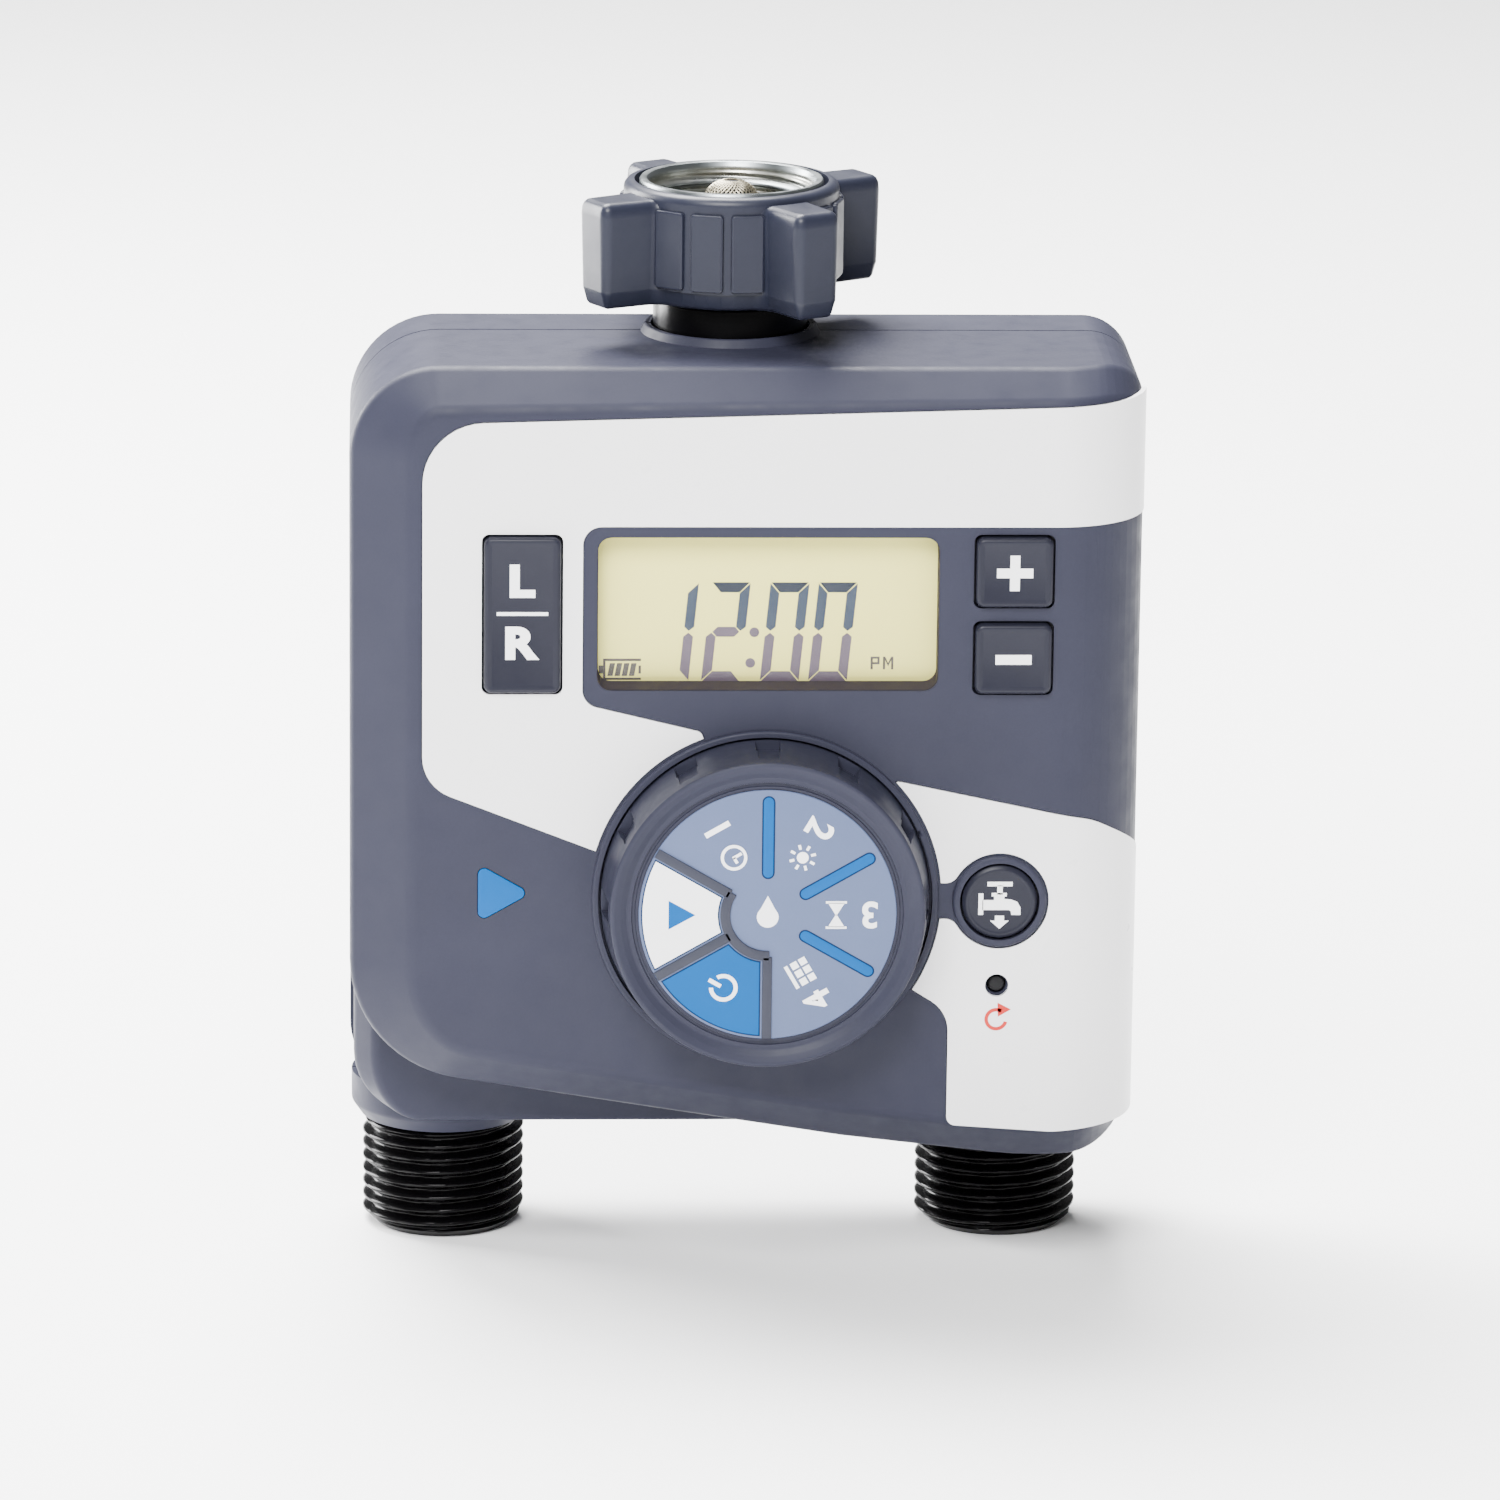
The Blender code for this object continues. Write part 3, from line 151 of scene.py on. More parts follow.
def rounded(corners, per_right_angle=12):
    """Points of a polygon (x, y, corner radius) in millimetres, as vectors in metres."""
    points = []
    count = len(corners)
    for index, (x, y, radius) in enumerate(corners):
        here = Vector((x, y))
        if radius <= 0.0:
            points.append(here * MM)
            continue
        back = (Vector(corners[index - 1][:2]) - here).normalized()
        ahead = (Vector(corners[(index + 1) % count][:2]) - here).normalized()
        half = math.acos(max(-1.0, min(1.0, back.dot(ahead)))) / 2
        centre = here + (back + ahead).normalized() * (radius / math.sin(half))
        start = here + back * (radius / math.tan(half)) - centre
        sweep = math.pi - 2 * half
        turn = 1.0 if back.cross(ahead) < 0.0 else -1.0
        steps = max(2, round(per_right_angle * sweep / (math.pi / 2)))
        for step in range(steps + 1):
            spin = Matrix.Rotation(turn * sweep * step / steps, 2)
            points.append((centre + spin @ start) * MM)
    return points


def rectangle(x_low, x_high, z_low, z_high, radius, per_right_angle=6):
    """Rounded rectangle. Sizes in metres."""
    xl, xh, zl, zh, r = (v / MM for v in (x_low, x_high, z_low, z_high, radius))
    corners = [(xl, zl, r), (xh, zl, r), (xh, zh, r), (xl, zh, r)]
    return rounded(corners, per_right_angle)


def box_outline(low, high, radius, per_right_angle=6):
    return rectangle(low.x, high.x, low.z, high.z, radius, per_right_angle)


def inward_normals(points):
    normals = []
    count = len(points)
    for index, point in enumerate(points):
        before = (point - points[index - 1]).normalized()
        after = (points[(index + 1) % count] - point).normalized()
        tangent = (before + after).normalized()
        stretch = 1.0 / max(0.5, tangent.dot(after))
        normals.append(Vector((-tangent.y, tangent.x)) * stretch)
    return normals


def inset(points, distance):
    return [p + n * distance for p, n in zip(points, inward_normals(points))]


def stack(loops, closed_round=False, bm=None):
    """Mesh through loops of 3D points. The ends get caps, or join each other."""
    bm = bm or bmesh.new()
    rows = [[bm.verts.new(p) for p in loop] for loop in loops]
    count = len(rows[0])
    pairs = list(zip(rows, rows[1:]))
    if closed_round:
        pairs.append((rows[-1], rows[0]))
    for near, far in pairs:
        for i in range(count):
            j = (i + 1) % count
            bm.faces.new((near[i], near[j], far[j], far[i]))
    if not closed_round:
        bm.faces.new(rows[0])
        bm.faces.new(reversed(rows[-1]))
    return bm


def standing(points, y):
    """Outline in the face's plane, at depth y."""
    return [Vector((p.x, y, p.y)) for p in points]


def rim_loops(points, level, edge, steps, step_degrees, sign=-1.0):
    """Loops of a rounded rim that ends at depth level, with its straight part behind it."""
    loops = []
    for step in range(steps):
        turn = math.radians(step_degrees * step)
        loops.append(standing(inset(points, edge * (1.0 - math.cos(turn))),
                              level + sign * edge * (1.0 - math.sin(turn))))
    return loops


def plate(name, points, front, back, edge=0.0, smooth=32.0):
    """Plate between two depths, with a rounded front edge."""
    loops = rim_loops(points, front, edge, 4, 30.0, 1.0) if edge else [standing(points, front)]
    return mesh_object(name, stack([standing(points, back)] + loops), smooth)


def lathe(name, profile, place, axis="Z", steps=64, closed=True, smooth=32.0, fillet=4):
    """Turn corners (radius, height, fillet) in millimetres round an axis through place.

    Heights count along +Z, or along -Y for axis "Y". A closed profile makes a ring.
    """
    rows = []
    for point in rounded(profile, fillet):
        row = []
        for step in range(steps):
            turn = math.tau * step / steps
            across, side = ray(max(point.x, AXIS_RADIUS), turn)
            if axis == "Z":
                row.append(Vector((across, side, point.y)) + place)
            else:
                row.append(Vector((across, -point.y, side)) + place)
        rows.append(row)
    return mesh_object(name, stack(rows, closed), smooth)


def peg(name, radius, low, high, place, axis="Z", steps=48):
    """Plain round cutter or boss. Sizes in millimetres."""
    profile = [(0.0, high, 0.0), (radius, high, 0.0), (radius, low, 0.0), (0.0, low, 0.0)]
    return lathe(name, profile, place, axis, steps, closed=False)


def block(name, low, high):
    """Plain cutter."""
    bm = bmesh.new()
    bmesh.ops.create_cube(bm, size=1.0)
    bmesh.ops.scale(bm, vec=Vector(high) - Vector(low), verts=bm.verts)
    bmesh.ops.translate(bm, vec=(Vector(low) + Vector(high)) / 2, verts=bm.verts)
    return mesh_object(name, bm)


def finish_piece(item, body, slot, material, *nodes):
    """Give a piece its material and body, and hide the CAD nodes that it stands for. The slot
    argument is not used.
    """
    item.data.materials.clear()
    item.data.materials.append(material)
    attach(item, body)
    if nodes:
        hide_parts(*nodes)
    return item


# ---------------------------------------------------------------- materials

def node_tools(name):
    """New material with a Principled shader, and short ways to add and join nodes."""
    material = bpy.data.materials.new(name)
    material.use_nodes = True
    tree = material.node_tree
    shader = tree.nodes["Principled BSDF"]

    def add(kind, **values):
        node = tree.nodes.new(kind)
        for key, value in values.items():
            if key in node.inputs:
                node.inputs[key].default_value = value
            else:
                setattr(node, key, value)
        return node

    def join_sockets(source, target):
        tree.links.new(source, target)

    return material, shader, add, join_sockets


def noise(add, join_sockets, coordinates, scale, detail=4.0, roughness=0.55):
    node = add("ShaderNodeTexNoise")
    node.inputs["Scale"].default_value = scale
    node.inputs["Detail"].default_value = detail
    node.inputs["Roughness"].default_value = roughness
    join_sockets(coordinates, node.inputs["Vector"])
    return node.outputs["Fac"]


def spread(add, join_sockets, value, low, high):
    """Map a 0..1 value to low..high."""
    node = add("ShaderNodeMapRange")
    node.inputs["From Min"].default_value = 0.3
    node.inputs["From Max"].default_value = 0.7
    node.inputs["To Min"].default_value = low
    node.inputs["To Max"].default_value = high
    join_sockets(value, node.inputs["Value"])
    return node.outputs["Result"]


def colour_between(add, join_sockets, shader, value, colours, positions):
    ramp = add("ShaderNodeValToRGB")
    for element, colour, position in zip(ramp.color_ramp.elements, colours, positions):
        element.position, element.color = position, (*colour, 1.0)
    join_sockets(value, ramp.inputs["Fac"])
    join_sockets(ramp.outputs["Color"], shader.inputs["Base Color"])


def bump_from(add, join_sockets, shader, height, strength, distance):
    bump = add("ShaderNodeBump")
    bump.inputs["Strength"].default_value = strength
    bump.inputs["Distance"].default_value = distance
    join_sockets(height, bump.inputs["Height"])
    join_sockets(bump.outputs["Normal"], shader.inputs["Normal"])


def plastic(name, colour, roughness, grain=0.0, grain_size=0.35, shift=0.06, gloss=0.5,
            metallic=0.0, stretch=(1.0, 1.0, 1.0)):
    """Moulded surface: slow colour drift, uneven roughness and fine grain."""
    material, shader, add, join_sockets = node_tools(name)
    position = add("ShaderNodeTexCoord").outputs["Object"]
    mapping = add("ShaderNodeMapping")
    mapping.inputs["Scale"].default_value = stretch
    join_sockets(position, mapping.inputs["Vector"])
    position = mapping.outputs["Vector"]
    drift = noise(add, join_sockets, position, 45.0, 3.0)
    fine = noise(add, join_sockets, position, 1.0 / (grain_size * MM), 2.0)
    mixed = add("ShaderNodeMix")
    mixed.inputs["Factor"].default_value = 0.35
    join_sockets(drift, mixed.inputs["A"])
    join_sockets(fine, mixed.inputs["B"])
    dark = [c * (1.0 - shift) for c in colour]
    light = [min(1.0, c * (1.0 + shift)) for c in colour]
    colour_between(add, join_sockets, shader, mixed.outputs["Result"], (dark, light), (0.35, 0.65))
    rough = noise(add, join_sockets, position, 260.0, 5.0)
    join_sockets(spread(add, join_sockets, rough, roughness * 0.85, min(1.0, roughness * 1.15)),
                 shader.inputs["Roughness"])
    shader.inputs["Metallic"].default_value = metallic
    shader.inputs["Specular IOR Level"].default_value = gloss
    if grain > 0.0:
        bump_from(add, join_sockets, shader, fine, grain, 0.05 * MM)
    return material


def striped(name, colours, roughness, width, axis, metallic=0.0, depth=0.4):
    """Winding, brushed lines or threads: bands across one axis, with noise in them."""
    material, shader, add, join_sockets = node_tools(name)
    position = add("ShaderNodeTexCoord").outputs["Object"]
    wave = add("ShaderNodeTexWave")
    wave.wave_type = "BANDS"
    wave.bands_direction = axis
    wave.inputs["Scale"].default_value = 0.05 / width
    wave.inputs["Distortion"].default_value = 0.6
    wave.inputs["Detail"].default_value = 2.0
    wave.inputs["Detail Scale"].default_value = 3.0
    join_sockets(position, wave.inputs["Vector"])
    colour_between(add, join_sockets, shader, wave.outputs["Fac"], colours, (0.0, 1.0))
    rough = noise(add, join_sockets, position, 300.0, 4.0)
    join_sockets(spread(add, join_sockets, rough, roughness * 0.8, roughness * 1.2),
                 shader.inputs["Roughness"])
    shader.inputs["Metallic"].default_value = metallic
    bump_from(add, join_sockets, shader, wave.outputs["Fac"], depth, 0.1 * MM)
    return material


def clear_window(name):
    """Clear polished lens: it shows what lies behind it, with a trace of dust."""
    material = plastic(name, (0.10, 0.11, 0.10), 0.06, shift=0.05, gloss=0.35)
    material.node_tree.nodes["Principled BSDF"].inputs["Alpha"].default_value = 0.05
    return material


HOUSING = plastic("housing_grain", (0.0232, 0.0241, 0.0392), 0.50, grain=0.12, shift=0.05,
                  gloss=0.13)
KNOB = plastic("knob_grain", (0.024, 0.025, 0.040), 0.46, grain=0.10, shift=0.05, gloss=0.12)
NUT = plastic("nut_grain", (0.0128, 0.0144, 0.0256), 0.38, grain=0.12, shift=0.06, gloss=0.26)
WHITE = plastic("white_enamel", (0.83, 0.825, 0.835), 0.32, grain=0.03, shift=0.012)
KEY = plastic("key_satin", (0.0125, 0.0130, 0.0210), 0.36, grain=0.05, shift=0.05, gloss=0.15)
BLACK = plastic("black_moulding", (0.0012, 0.0011, 0.0014), 0.22, grain=0.0, shift=0.10, gloss=0.10)
BLUE = plastic("blue_print", (0.0, 0.080, 0.272), 0.50, grain=0.03, shift=0.03, gloss=0.06)
BLUE_EDGE = plastic("blue_print_edge", (0.002, 0.016, 0.055), 0.42, shift=0.05, gloss=0.1)
DISC = plastic("disc_print", (0.085, 0.112, 0.205), 0.42, grain=0.05, shift=0.04, gloss=0.2)
WHITE_PRINT = plastic("white_print", (0.95, 0.955, 0.97), 0.42, shift=0.015)
RED_PRINT = plastic("red_print", (0.50, 0.018, 0.012), 0.45, shift=0.05, gloss=0.3)
RIB = plastic("rib_grey", (0.026, 0.028, 0.042), 0.42, grain=0.05, shift=0.04, gloss=0.2)
RUBBER = plastic("soft_rubber", (0.009, 0.009, 0.010), 0.72, grain=0.25, shift=0.10, gloss=0.2)
# Near-black lining round the display opening: painted shade in the window's recess.
PAINTED_SHADE_LINER = plastic("display_painted_shade", (0.030, 0.025, 0.031), 0.60, grain=0.1, shift=0.10, gloss=0.1)
LCD_FILM = plastic("display_film", (0.93, 0.87, 0.26), 0.45, shift=0.012, gloss=0.10)
# Segment colours paint shading: the same segments are drawn darkest in the top bar, dark blue in
# the upper bars and lighter grey in the lower bars and colon.
LCD_SHADED_TOP = plastic("segment_dark", (0.017, 0.022, 0.038), 0.40, shift=0.05, gloss=0.2)
LCD_SHADED_UPPER = plastic("segment_blue", (0.032, 0.046, 0.078), 0.40, shift=0.05, gloss=0.2)
LCD_LIT_LOWER = plastic("segment_grey", (0.115, 0.088, 0.120), 0.40, shift=0.05, gloss=0.2)
LCD_ICON = plastic("segment_faint", (0.085, 0.075, 0.068), 0.40, shift=0.05, gloss=0.2)
LENS = clear_window("display_lens")
ZINC = striped("plated_zinc", ((0.22, 0.24, 0.25), (0.38, 0.38, 0.34)), 0.32, 0.5 * MM, "Z", 1.0,
               0.10)
MESH_WIRE = plastic("mesh_wire", (0.30, 0.27, 0.20), 0.42, shift=0.12, metallic=1.0)
STEEL = plastic("plain_steel", (0.55, 0.56, 0.58), 0.28, shift=0.05, metallic=1.0)
SPRING_STEEL = striped("spring_steel", ((0.45, 0.46, 0.48), (0.62, 0.63, 0.65)), 0.25, 0.4 * MM,
                       "Z", 1.0)
COPPER = striped("copper_winding", ((0.42, 0.14, 0.05), (0.78, 0.36, 0.16)), 0.35, 0.45 * MM,
                 "Z", 1.0)
BOARD = plastic("solder_resist", (0.020, 0.150, 0.060), 0.34, grain=0.1, grain_size=1.2, shift=0.25)
NATURAL = plastic("natural_nylon", (0.70, 0.68, 0.61), 0.50, grain=0.08, shift=0.03)
SLEEVE = plastic("cell_sleeve", (0.085, 0.092, 0.110), 0.28, shift=0.06)
LEAD_BLUE = plastic("lead_blue_sleeve", (0.030, 0.105, 0.420), 0.50, shift=0.06)
LEAD_RED = plastic("lead_red_sleeve", (0.520, 0.030, 0.022), 0.50, shift=0.06)
LEAD_BLACK = plastic("lead_black_sleeve", (0.012, 0.012, 0.013), 0.50, shift=0.06)


# ---------------------------------------------------------------- camera and studio

CAMERA_DISTANCE = 1384.0 * MM
CAMERA_HEIGHT = 446.0 * MM
CAMERA_TURN = math.radians(-2.5)     # seen slightly from the left
CAMERA_PITCH = math.radians(14.8)
CAMERA_ROLL = math.radians(0.64)
CAMERA_SHIFT_X = 1.8 * MM
LENS_LENGTH = 208.6                  # on a 36 mm sensor


def make_camera():
    data = bpy.data.cameras.new("view_camera")
    data.lens = LENS_LENGTH
    data.sensor_width = 36.0
    data.clip_start, data.clip_end = 0.05, 20.0
    camera = link("view_camera", data)
    camera.location = (CAMERA_DISTANCE * math.sin(CAMERA_TURN) + CAMERA_SHIFT_X,
                       PIPE_Y - CAMERA_DISTANCE * math.cos(CAMERA_TURN), CAMERA_HEIGHT)
    ahead = Vector((-math.sin(CAMERA_TURN) * math.cos(CAMERA_PITCH),
                    math.cos(CAMERA_TURN) * math.cos(CAMERA_PITCH), -math.sin(CAMERA_PITCH)))
    level = ahead.to_track_quat("-Z", "Y").to_matrix()
    camera.rotation_euler = (level @ Matrix.Rotation(CAMERA_ROLL, 3, "Z")).to_euler()
    bpy.context.scene.camera = camera


def area_light(name, place, target, size, power):
    data = bpy.data.lights.new(name, "AREA")
    data.shape = "RECTANGLE"
    data.size, data.size_y = size
    data.energy = power
    light = link(name, data)
    light.location = place
    light.rotation_euler = (Vector(target) - Vector(place)).to_track_quat("-Z", "Y").to_euler()


def make_studio():
    bm = bmesh.new()
    bmesh.ops.create_grid(bm, x_segments=1, y_segments=1, size=4.0)
    floor = mesh_object("studio_floor", bm)
    floor.location.z = -0.05 * MM
    floor.data.materials.append(plastic("studio_paper", (0.93, 0.93, 0.93), 0.80, shift=0.003))
    world = bpy.data.worlds.new("studio_world")
    bpy.context.scene.world = world
    world.use_nodes = True
    background = world.node_tree.nodes["Background"]
    background.inputs["Color"].default_value = (1.0, 1.0, 1.0, 1.0)
    background.inputs["Strength"].default_value = 0.32
    centre = (0.0, 0.0, 0.09)
    area_light("top_softbox", (-0.25, 0.55, 1.20), centre, (0.9, 0.7), 108.0)
    area_light("left_softbox", (-0.95, 0.60, 0.30), centre, (0.5, 0.8), 60.0)
    area_light("front_softbox", (-0.14, -0.55, 0.62), centre, (0.35, 0.35), 13.6)


# ---------------------------------------------------------------- housings

def face_crease(points):
    """Vectors from the outer edge to the flat face's edge; the right side has none."""
    moves = []
    for point, normal in zip(points, inward_normals(points)):
        narrowing = 1.9 * MM * (point.x + HALF_WIDTH) / (2 * HALF_WIDTH)
        rise = TOP_BEVEL - (narrowing if point.y > TOP_Z / 2 else 0.0)
        across = SIDE_BEVEL if normal.x > 0.0 else 0.0
        moves.append(Vector((normal.x * across, normal.y * rise)))
    return moves


def curve_through(a, corner, b, steps=5):
    """Points of a soft corner between a and b."""
    shares = [step / steps for step in range(steps + 1)]
    return [a * (1 - t) ** 2 + corner * (2 * t * (1 - t)) + b * t ** 2 for t in shares]


def slice_at(bm, positions):
    for plane_x in positions:
        geometry = bm.verts[:] + bm.edges[:] + bm.faces[:]
        bmesh.ops.bisect_plane(bm, geom=geometry, dist=0.000001,
                               plane_co=(plane_x, 0, 0), plane_no=(1, 0, 0))


WRAP_STEPS = [math.sin(math.radians(90.0 * step / 14)) for step in range(14)]


def wrap_right(bm, limit_y, radius=WRAP_RADIUS):
    """Push everything beyond WRAP_X backwards along an arc, except behind limit_y."""
    slice_at(bm, [WRAP_X + radius * share for share in WRAP_STEPS])
    for vert in bm.verts:
        over = min(max(vert.co.x - WRAP_X, 0.0), radius * 0.9999)
        if vert.co.y < limit_y:
            vert.co.y += radius - math.sqrt(radius * radius - over * over)


def soft_profile(nose, edge, normal, soft, edge_share, edge_steps, back_y):
    """Points down one side: a soft crease at the nose, the bevel, a soft edge and the wall."""
    inner = nose + Vector((normal.x, 0.0, normal.y)) * soft
    slope = (edge - nose).normalized() * soft
    below = edge + Vector((0.0, soft * edge_share, 0.0))
    return [*curve_through(inner, nose, nose + slope),
            *curve_through(edge - slope * edge_share, edge, below, edge_steps),
            Vector((edge.x, back_y, edge.z))]


def cover_solid(name, distance, front_y, back_y, radius, soft=1.3 * MM):
    """The cover's outer form, or its cavity: a flat face, soft creases, bevels and walls."""
    outline = inset(rounded(COVER_CORNERS, 16), distance)
    moves = face_crease(outline)
    normals = inward_normals(outline)
    depth = EDGE_Y - FACE_Y
    profiles = []
    for point, move, normal in zip(outline, moves, normals):
        edge = Vector((point.x, front_y + depth, point.y))
        crease = edge + Vector((move.x, -depth, move.y))
        profiles.append(soft_profile(crease, edge, normal, soft, 0.8, 5, back_y))
    bm = stack([list(row) for row in zip(*profiles)])
    wrap_right(bm, PIPE_Y - 1.0 * MM, radius)
    return mesh_object(name, bm, 24.0)


def block_solid(name, distance, front_y, back_y, soft=1.2 * MM):
    """Lower block behind the cover, with a slanted left shoulder."""
    (x_low, x_high), (z_low, z_high) = BLOCK_SPAN_X, BLOCK_SPAN_Z
    corners = [(x_low, z_low, BLOCK_CORNER), (x_high, z_low, 5.0), (x_high, z_high, 5.0),
               (x_low, z_high, 5.0)]
    outline = inset(rounded(corners, 12), distance)
    normals = inward_normals(outline)
    profiles = []
    for point, normal in zip(outline, normals):
        edge = Vector((point.x, front_y + BLOCK_BEVEL, point.y))
        nose = Vector((point.x + max(normal.x, 0.0) * BLOCK_LEAN, front_y, point.y))
        profiles.append(soft_profile(nose, edge, normal, soft, 0.7, 3, back_y))
    return mesh_object(name, stack([list(row) for row in zip(*profiles)]), 24.0)


def at_pipe(x):
    return Vector((x, PIPE_Y, 0.0))


def facing(x, z):
    """Place of a turned piece whose axis runs towards the front."""
    return Vector((x, PIPE_Y, z))


DIAL_PLACE = facing(DIAL_X, DIAL_Z)
MANUAL_PLACE = facing(*middle_of("button_manual").xz)
RESET_PLACE = facing(*middle_of("button_reset").xz)
FACE_DEPTH = (PIPE_Y - FACE_Y) / MM          # millimetres forward of the pipe axes
UPPER_SCREWS = [(-54.0, 140.0), (54.0, 140.0)]
LOWER_SCREWS = [(-20.0, 28.6), (20.0, 28.6)]
SCREW_NODES = ("screw_upper_left", "screw_upper_right", "screw_lower_left", "screw_lower_right")


def add_collars(shell):
    """Low dish round the inlet neck and short collars round the outlets."""
    for x in OUTLETS_X:
        profile = [(0.0, 26.0, 0.0), (15.2, 26.0, 0.0), (15.2, 21.0, 1.2), (13.6, 18.7, 0.4),
                   (0.0, 18.7, 0.0)]
        join(shell, lathe("outlet_collar", profile, at_pipe(x), steps=72, closed=False))
    top = TOP_Z / MM
    dish = [(0.0, top + 1.2, 0.0), (13.3, top + 1.2, 0.0), (13.9, top + 1.5, 0.4),
            (15.4, top - 1.6, 0.0), (0.0, top - 1.6, 0.0)]
    join(shell, lathe("inlet_collar", dish, at_pipe(INLET_X), steps=72, closed=False))


def pipe_holes(shell):
    for x in OUTLETS_X:
        cut(shell, peg("outlet_hole", OUTLET_HOLE, 10.0, 35.0, at_pipe(x), steps=72))
    cut(shell, peg("inlet_hole", INLET_HOLE, 140.0, 160.0, at_pipe(INLET_X), steps=72))


def span_of(node, edge=1.0 * MM):
    """A key cap's rectangle, from the node's box without its hidden flange."""
    low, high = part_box(node)
    return low.x + edge, high.x - edge, low.z + edge, high.z - edge


KEY_SPANS = {name: span_of(name) for name in ("button_left_right", "button_plus", "button_minus")}
WINDOW_LOW, WINDOW_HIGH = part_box("lcd_window")
LCD_SPAN = (WINDOW_LOW.x + 2.6 * MM, WINDOW_HIGH.x - 2.6 * MM,
            WINDOW_LOW.z + 2.2 * MM, WINDOW_HIGH.z - 2.2 * MM)


def grown(span, edge):
    return span[0] - edge, span[1] + edge, span[2] - edge, span[3] + edge


PANEL_END = (WRAP_X + WRAP_RADIUS * math.radians(84.0)) / MM     # along the bent face
UPPER_PANEL = [
    (-52.3, 83.4, 7.0), (-9.0, 66.6, 0.0), (3.0, 64.7, 0.0), (-7.6, 92.4, 1.2),
    (-26.7, 97.0, 3.0), (-26.7, 126.2, 3.0), (PANEL_END, 126.2, 0.0), (PANEL_END, 146.3, 0.0),
    (-52.3, 142.8, 10.0),
]
LOWER_PANEL = [
    (32.9, 26.4, 1.5), (50.0, 25.2, 12.0), (PANEL_END, 25.8, 0.0), (PANEL_END, 70.0, 0.0),
    (56.0, 77.4, 12.0), (24.0, 84.2, 1.2), (3.0, 64.7, 0.0), (25.6, 50.2, 0.0), (32.9, 45.6, 6.0),
]
POINTER = [(-43.3, 60.7, 1.0), (-34.8, 65.55, 1.0), (-43.3, 70.4, 1.0)]
PANEL_PROUD = 0.15 * MM
PANEL_SINK = 0.60 * MM
RING_RADIUS = 28.0
MANUAL_RING = 7.5
NECK_HALF = 3.0


def bend_right(bm):
    """Bend a thin plate round the face's right side, keeping its thickness and length."""
    turns = [math.radians(90.0 * step / 14) for step in range(14)]
    slice_at(bm, [WRAP_X + WRAP_RADIUS * turn for turn in turns])
    for vert in bm.verts:
        turn = max(vert.co.x - WRAP_X, 0.0) / WRAP_RADIUS
        if turn > 0.0:
            arm = WRAP_RADIUS - (vert.co.y - FACE_Y)
            vert.co.x = WRAP_X + arm * math.sin(turn)
            vert.co.y = FACE_Y + WRAP_RADIUS - arm * math.cos(turn)


def teardrop(grow):
    """Outline round the manual key's ring and the neck that runs to the dial."""
    mx, mz = MANUAL_PLACE.x / MM, MANUAL_PLACE.z / MM
    half, radius = NECK_HALF - grow, MANUAL_RING + 0.5 - grow
    fillet = 2.2 + grow
    far = math.asin((half + fillet) / (radius + fillet))
    points = [Vector((DIAL_X / MM + 20.0, mz - half)) * MM]
    across = (radius + fillet) * math.cos(far)
    for sign in (-1.0, 1.0):
        centre = Vector((mx - across, mz + sign * (half + fillet)))
        turns = [sign * (far - math.pi / 2) * step / 6 for step in range(7)]
        arc = [centre + Vector((fillet * math.sin(abs(t)), -sign * fillet * math.cos(t)))
               for t in turns]
        arc = [p for p in arc if p.x <= mx - radius * math.cos(far) + 0.001]
        if sign < 0.0:
            points += [p * MM for p in arc]
            sweep = 2 * math.pi - 2 * far
            for step in range(49):
                angle = math.pi + far + sweep * step / 48
                points.append(Vector((mx + radius * math.cos(angle),
                                      mz + radius * math.sin(angle))) * MM)
        else:
            points += [p * MM for p in reversed(arc)]
    points.append(Vector((DIAL_X / MM + 20.0, mz + half)) * MM)
    return points


def panel(name, corners, front, back, grow=0.0):
    """Panel let into the face, kept clear of the dial's ring and the manual key's ring."""
    outline = rounded(corners, 10)
    if grow:
        outline = inset(outline, -grow * MM)
    bm = stack([standing(outline, back), standing(outline, front)])
    bend_right(bm)
    item = mesh_object(name, bm, 24.0)
    cut(item, peg(name + "_dial_bay", RING_RADIUS + 0.5 - grow, 25.0, 45.0, DIAL_PLACE, "Y", 128))
    if corners is LOWER_PANEL:
        cut(item, plate(name + "_key_bay", teardrop(grow), front - 9.0 * MM, back + 9.0 * MM))
        if not grow:
            cut(item, peg(name + "_reset_hole", 1.9, 25.0, 45.0, RESET_PLACE, "Y"))
    elif not grow:
        hole = rectangle(*grown(KEY_SPANS["button_left_right"], 0.35 * MM), 1.2 * MM)
        cut(item, plate(name + "_key_hole", hole, front - 1.0 * MM, back + 1.0 * MM))
    return bake(item, 24.0)


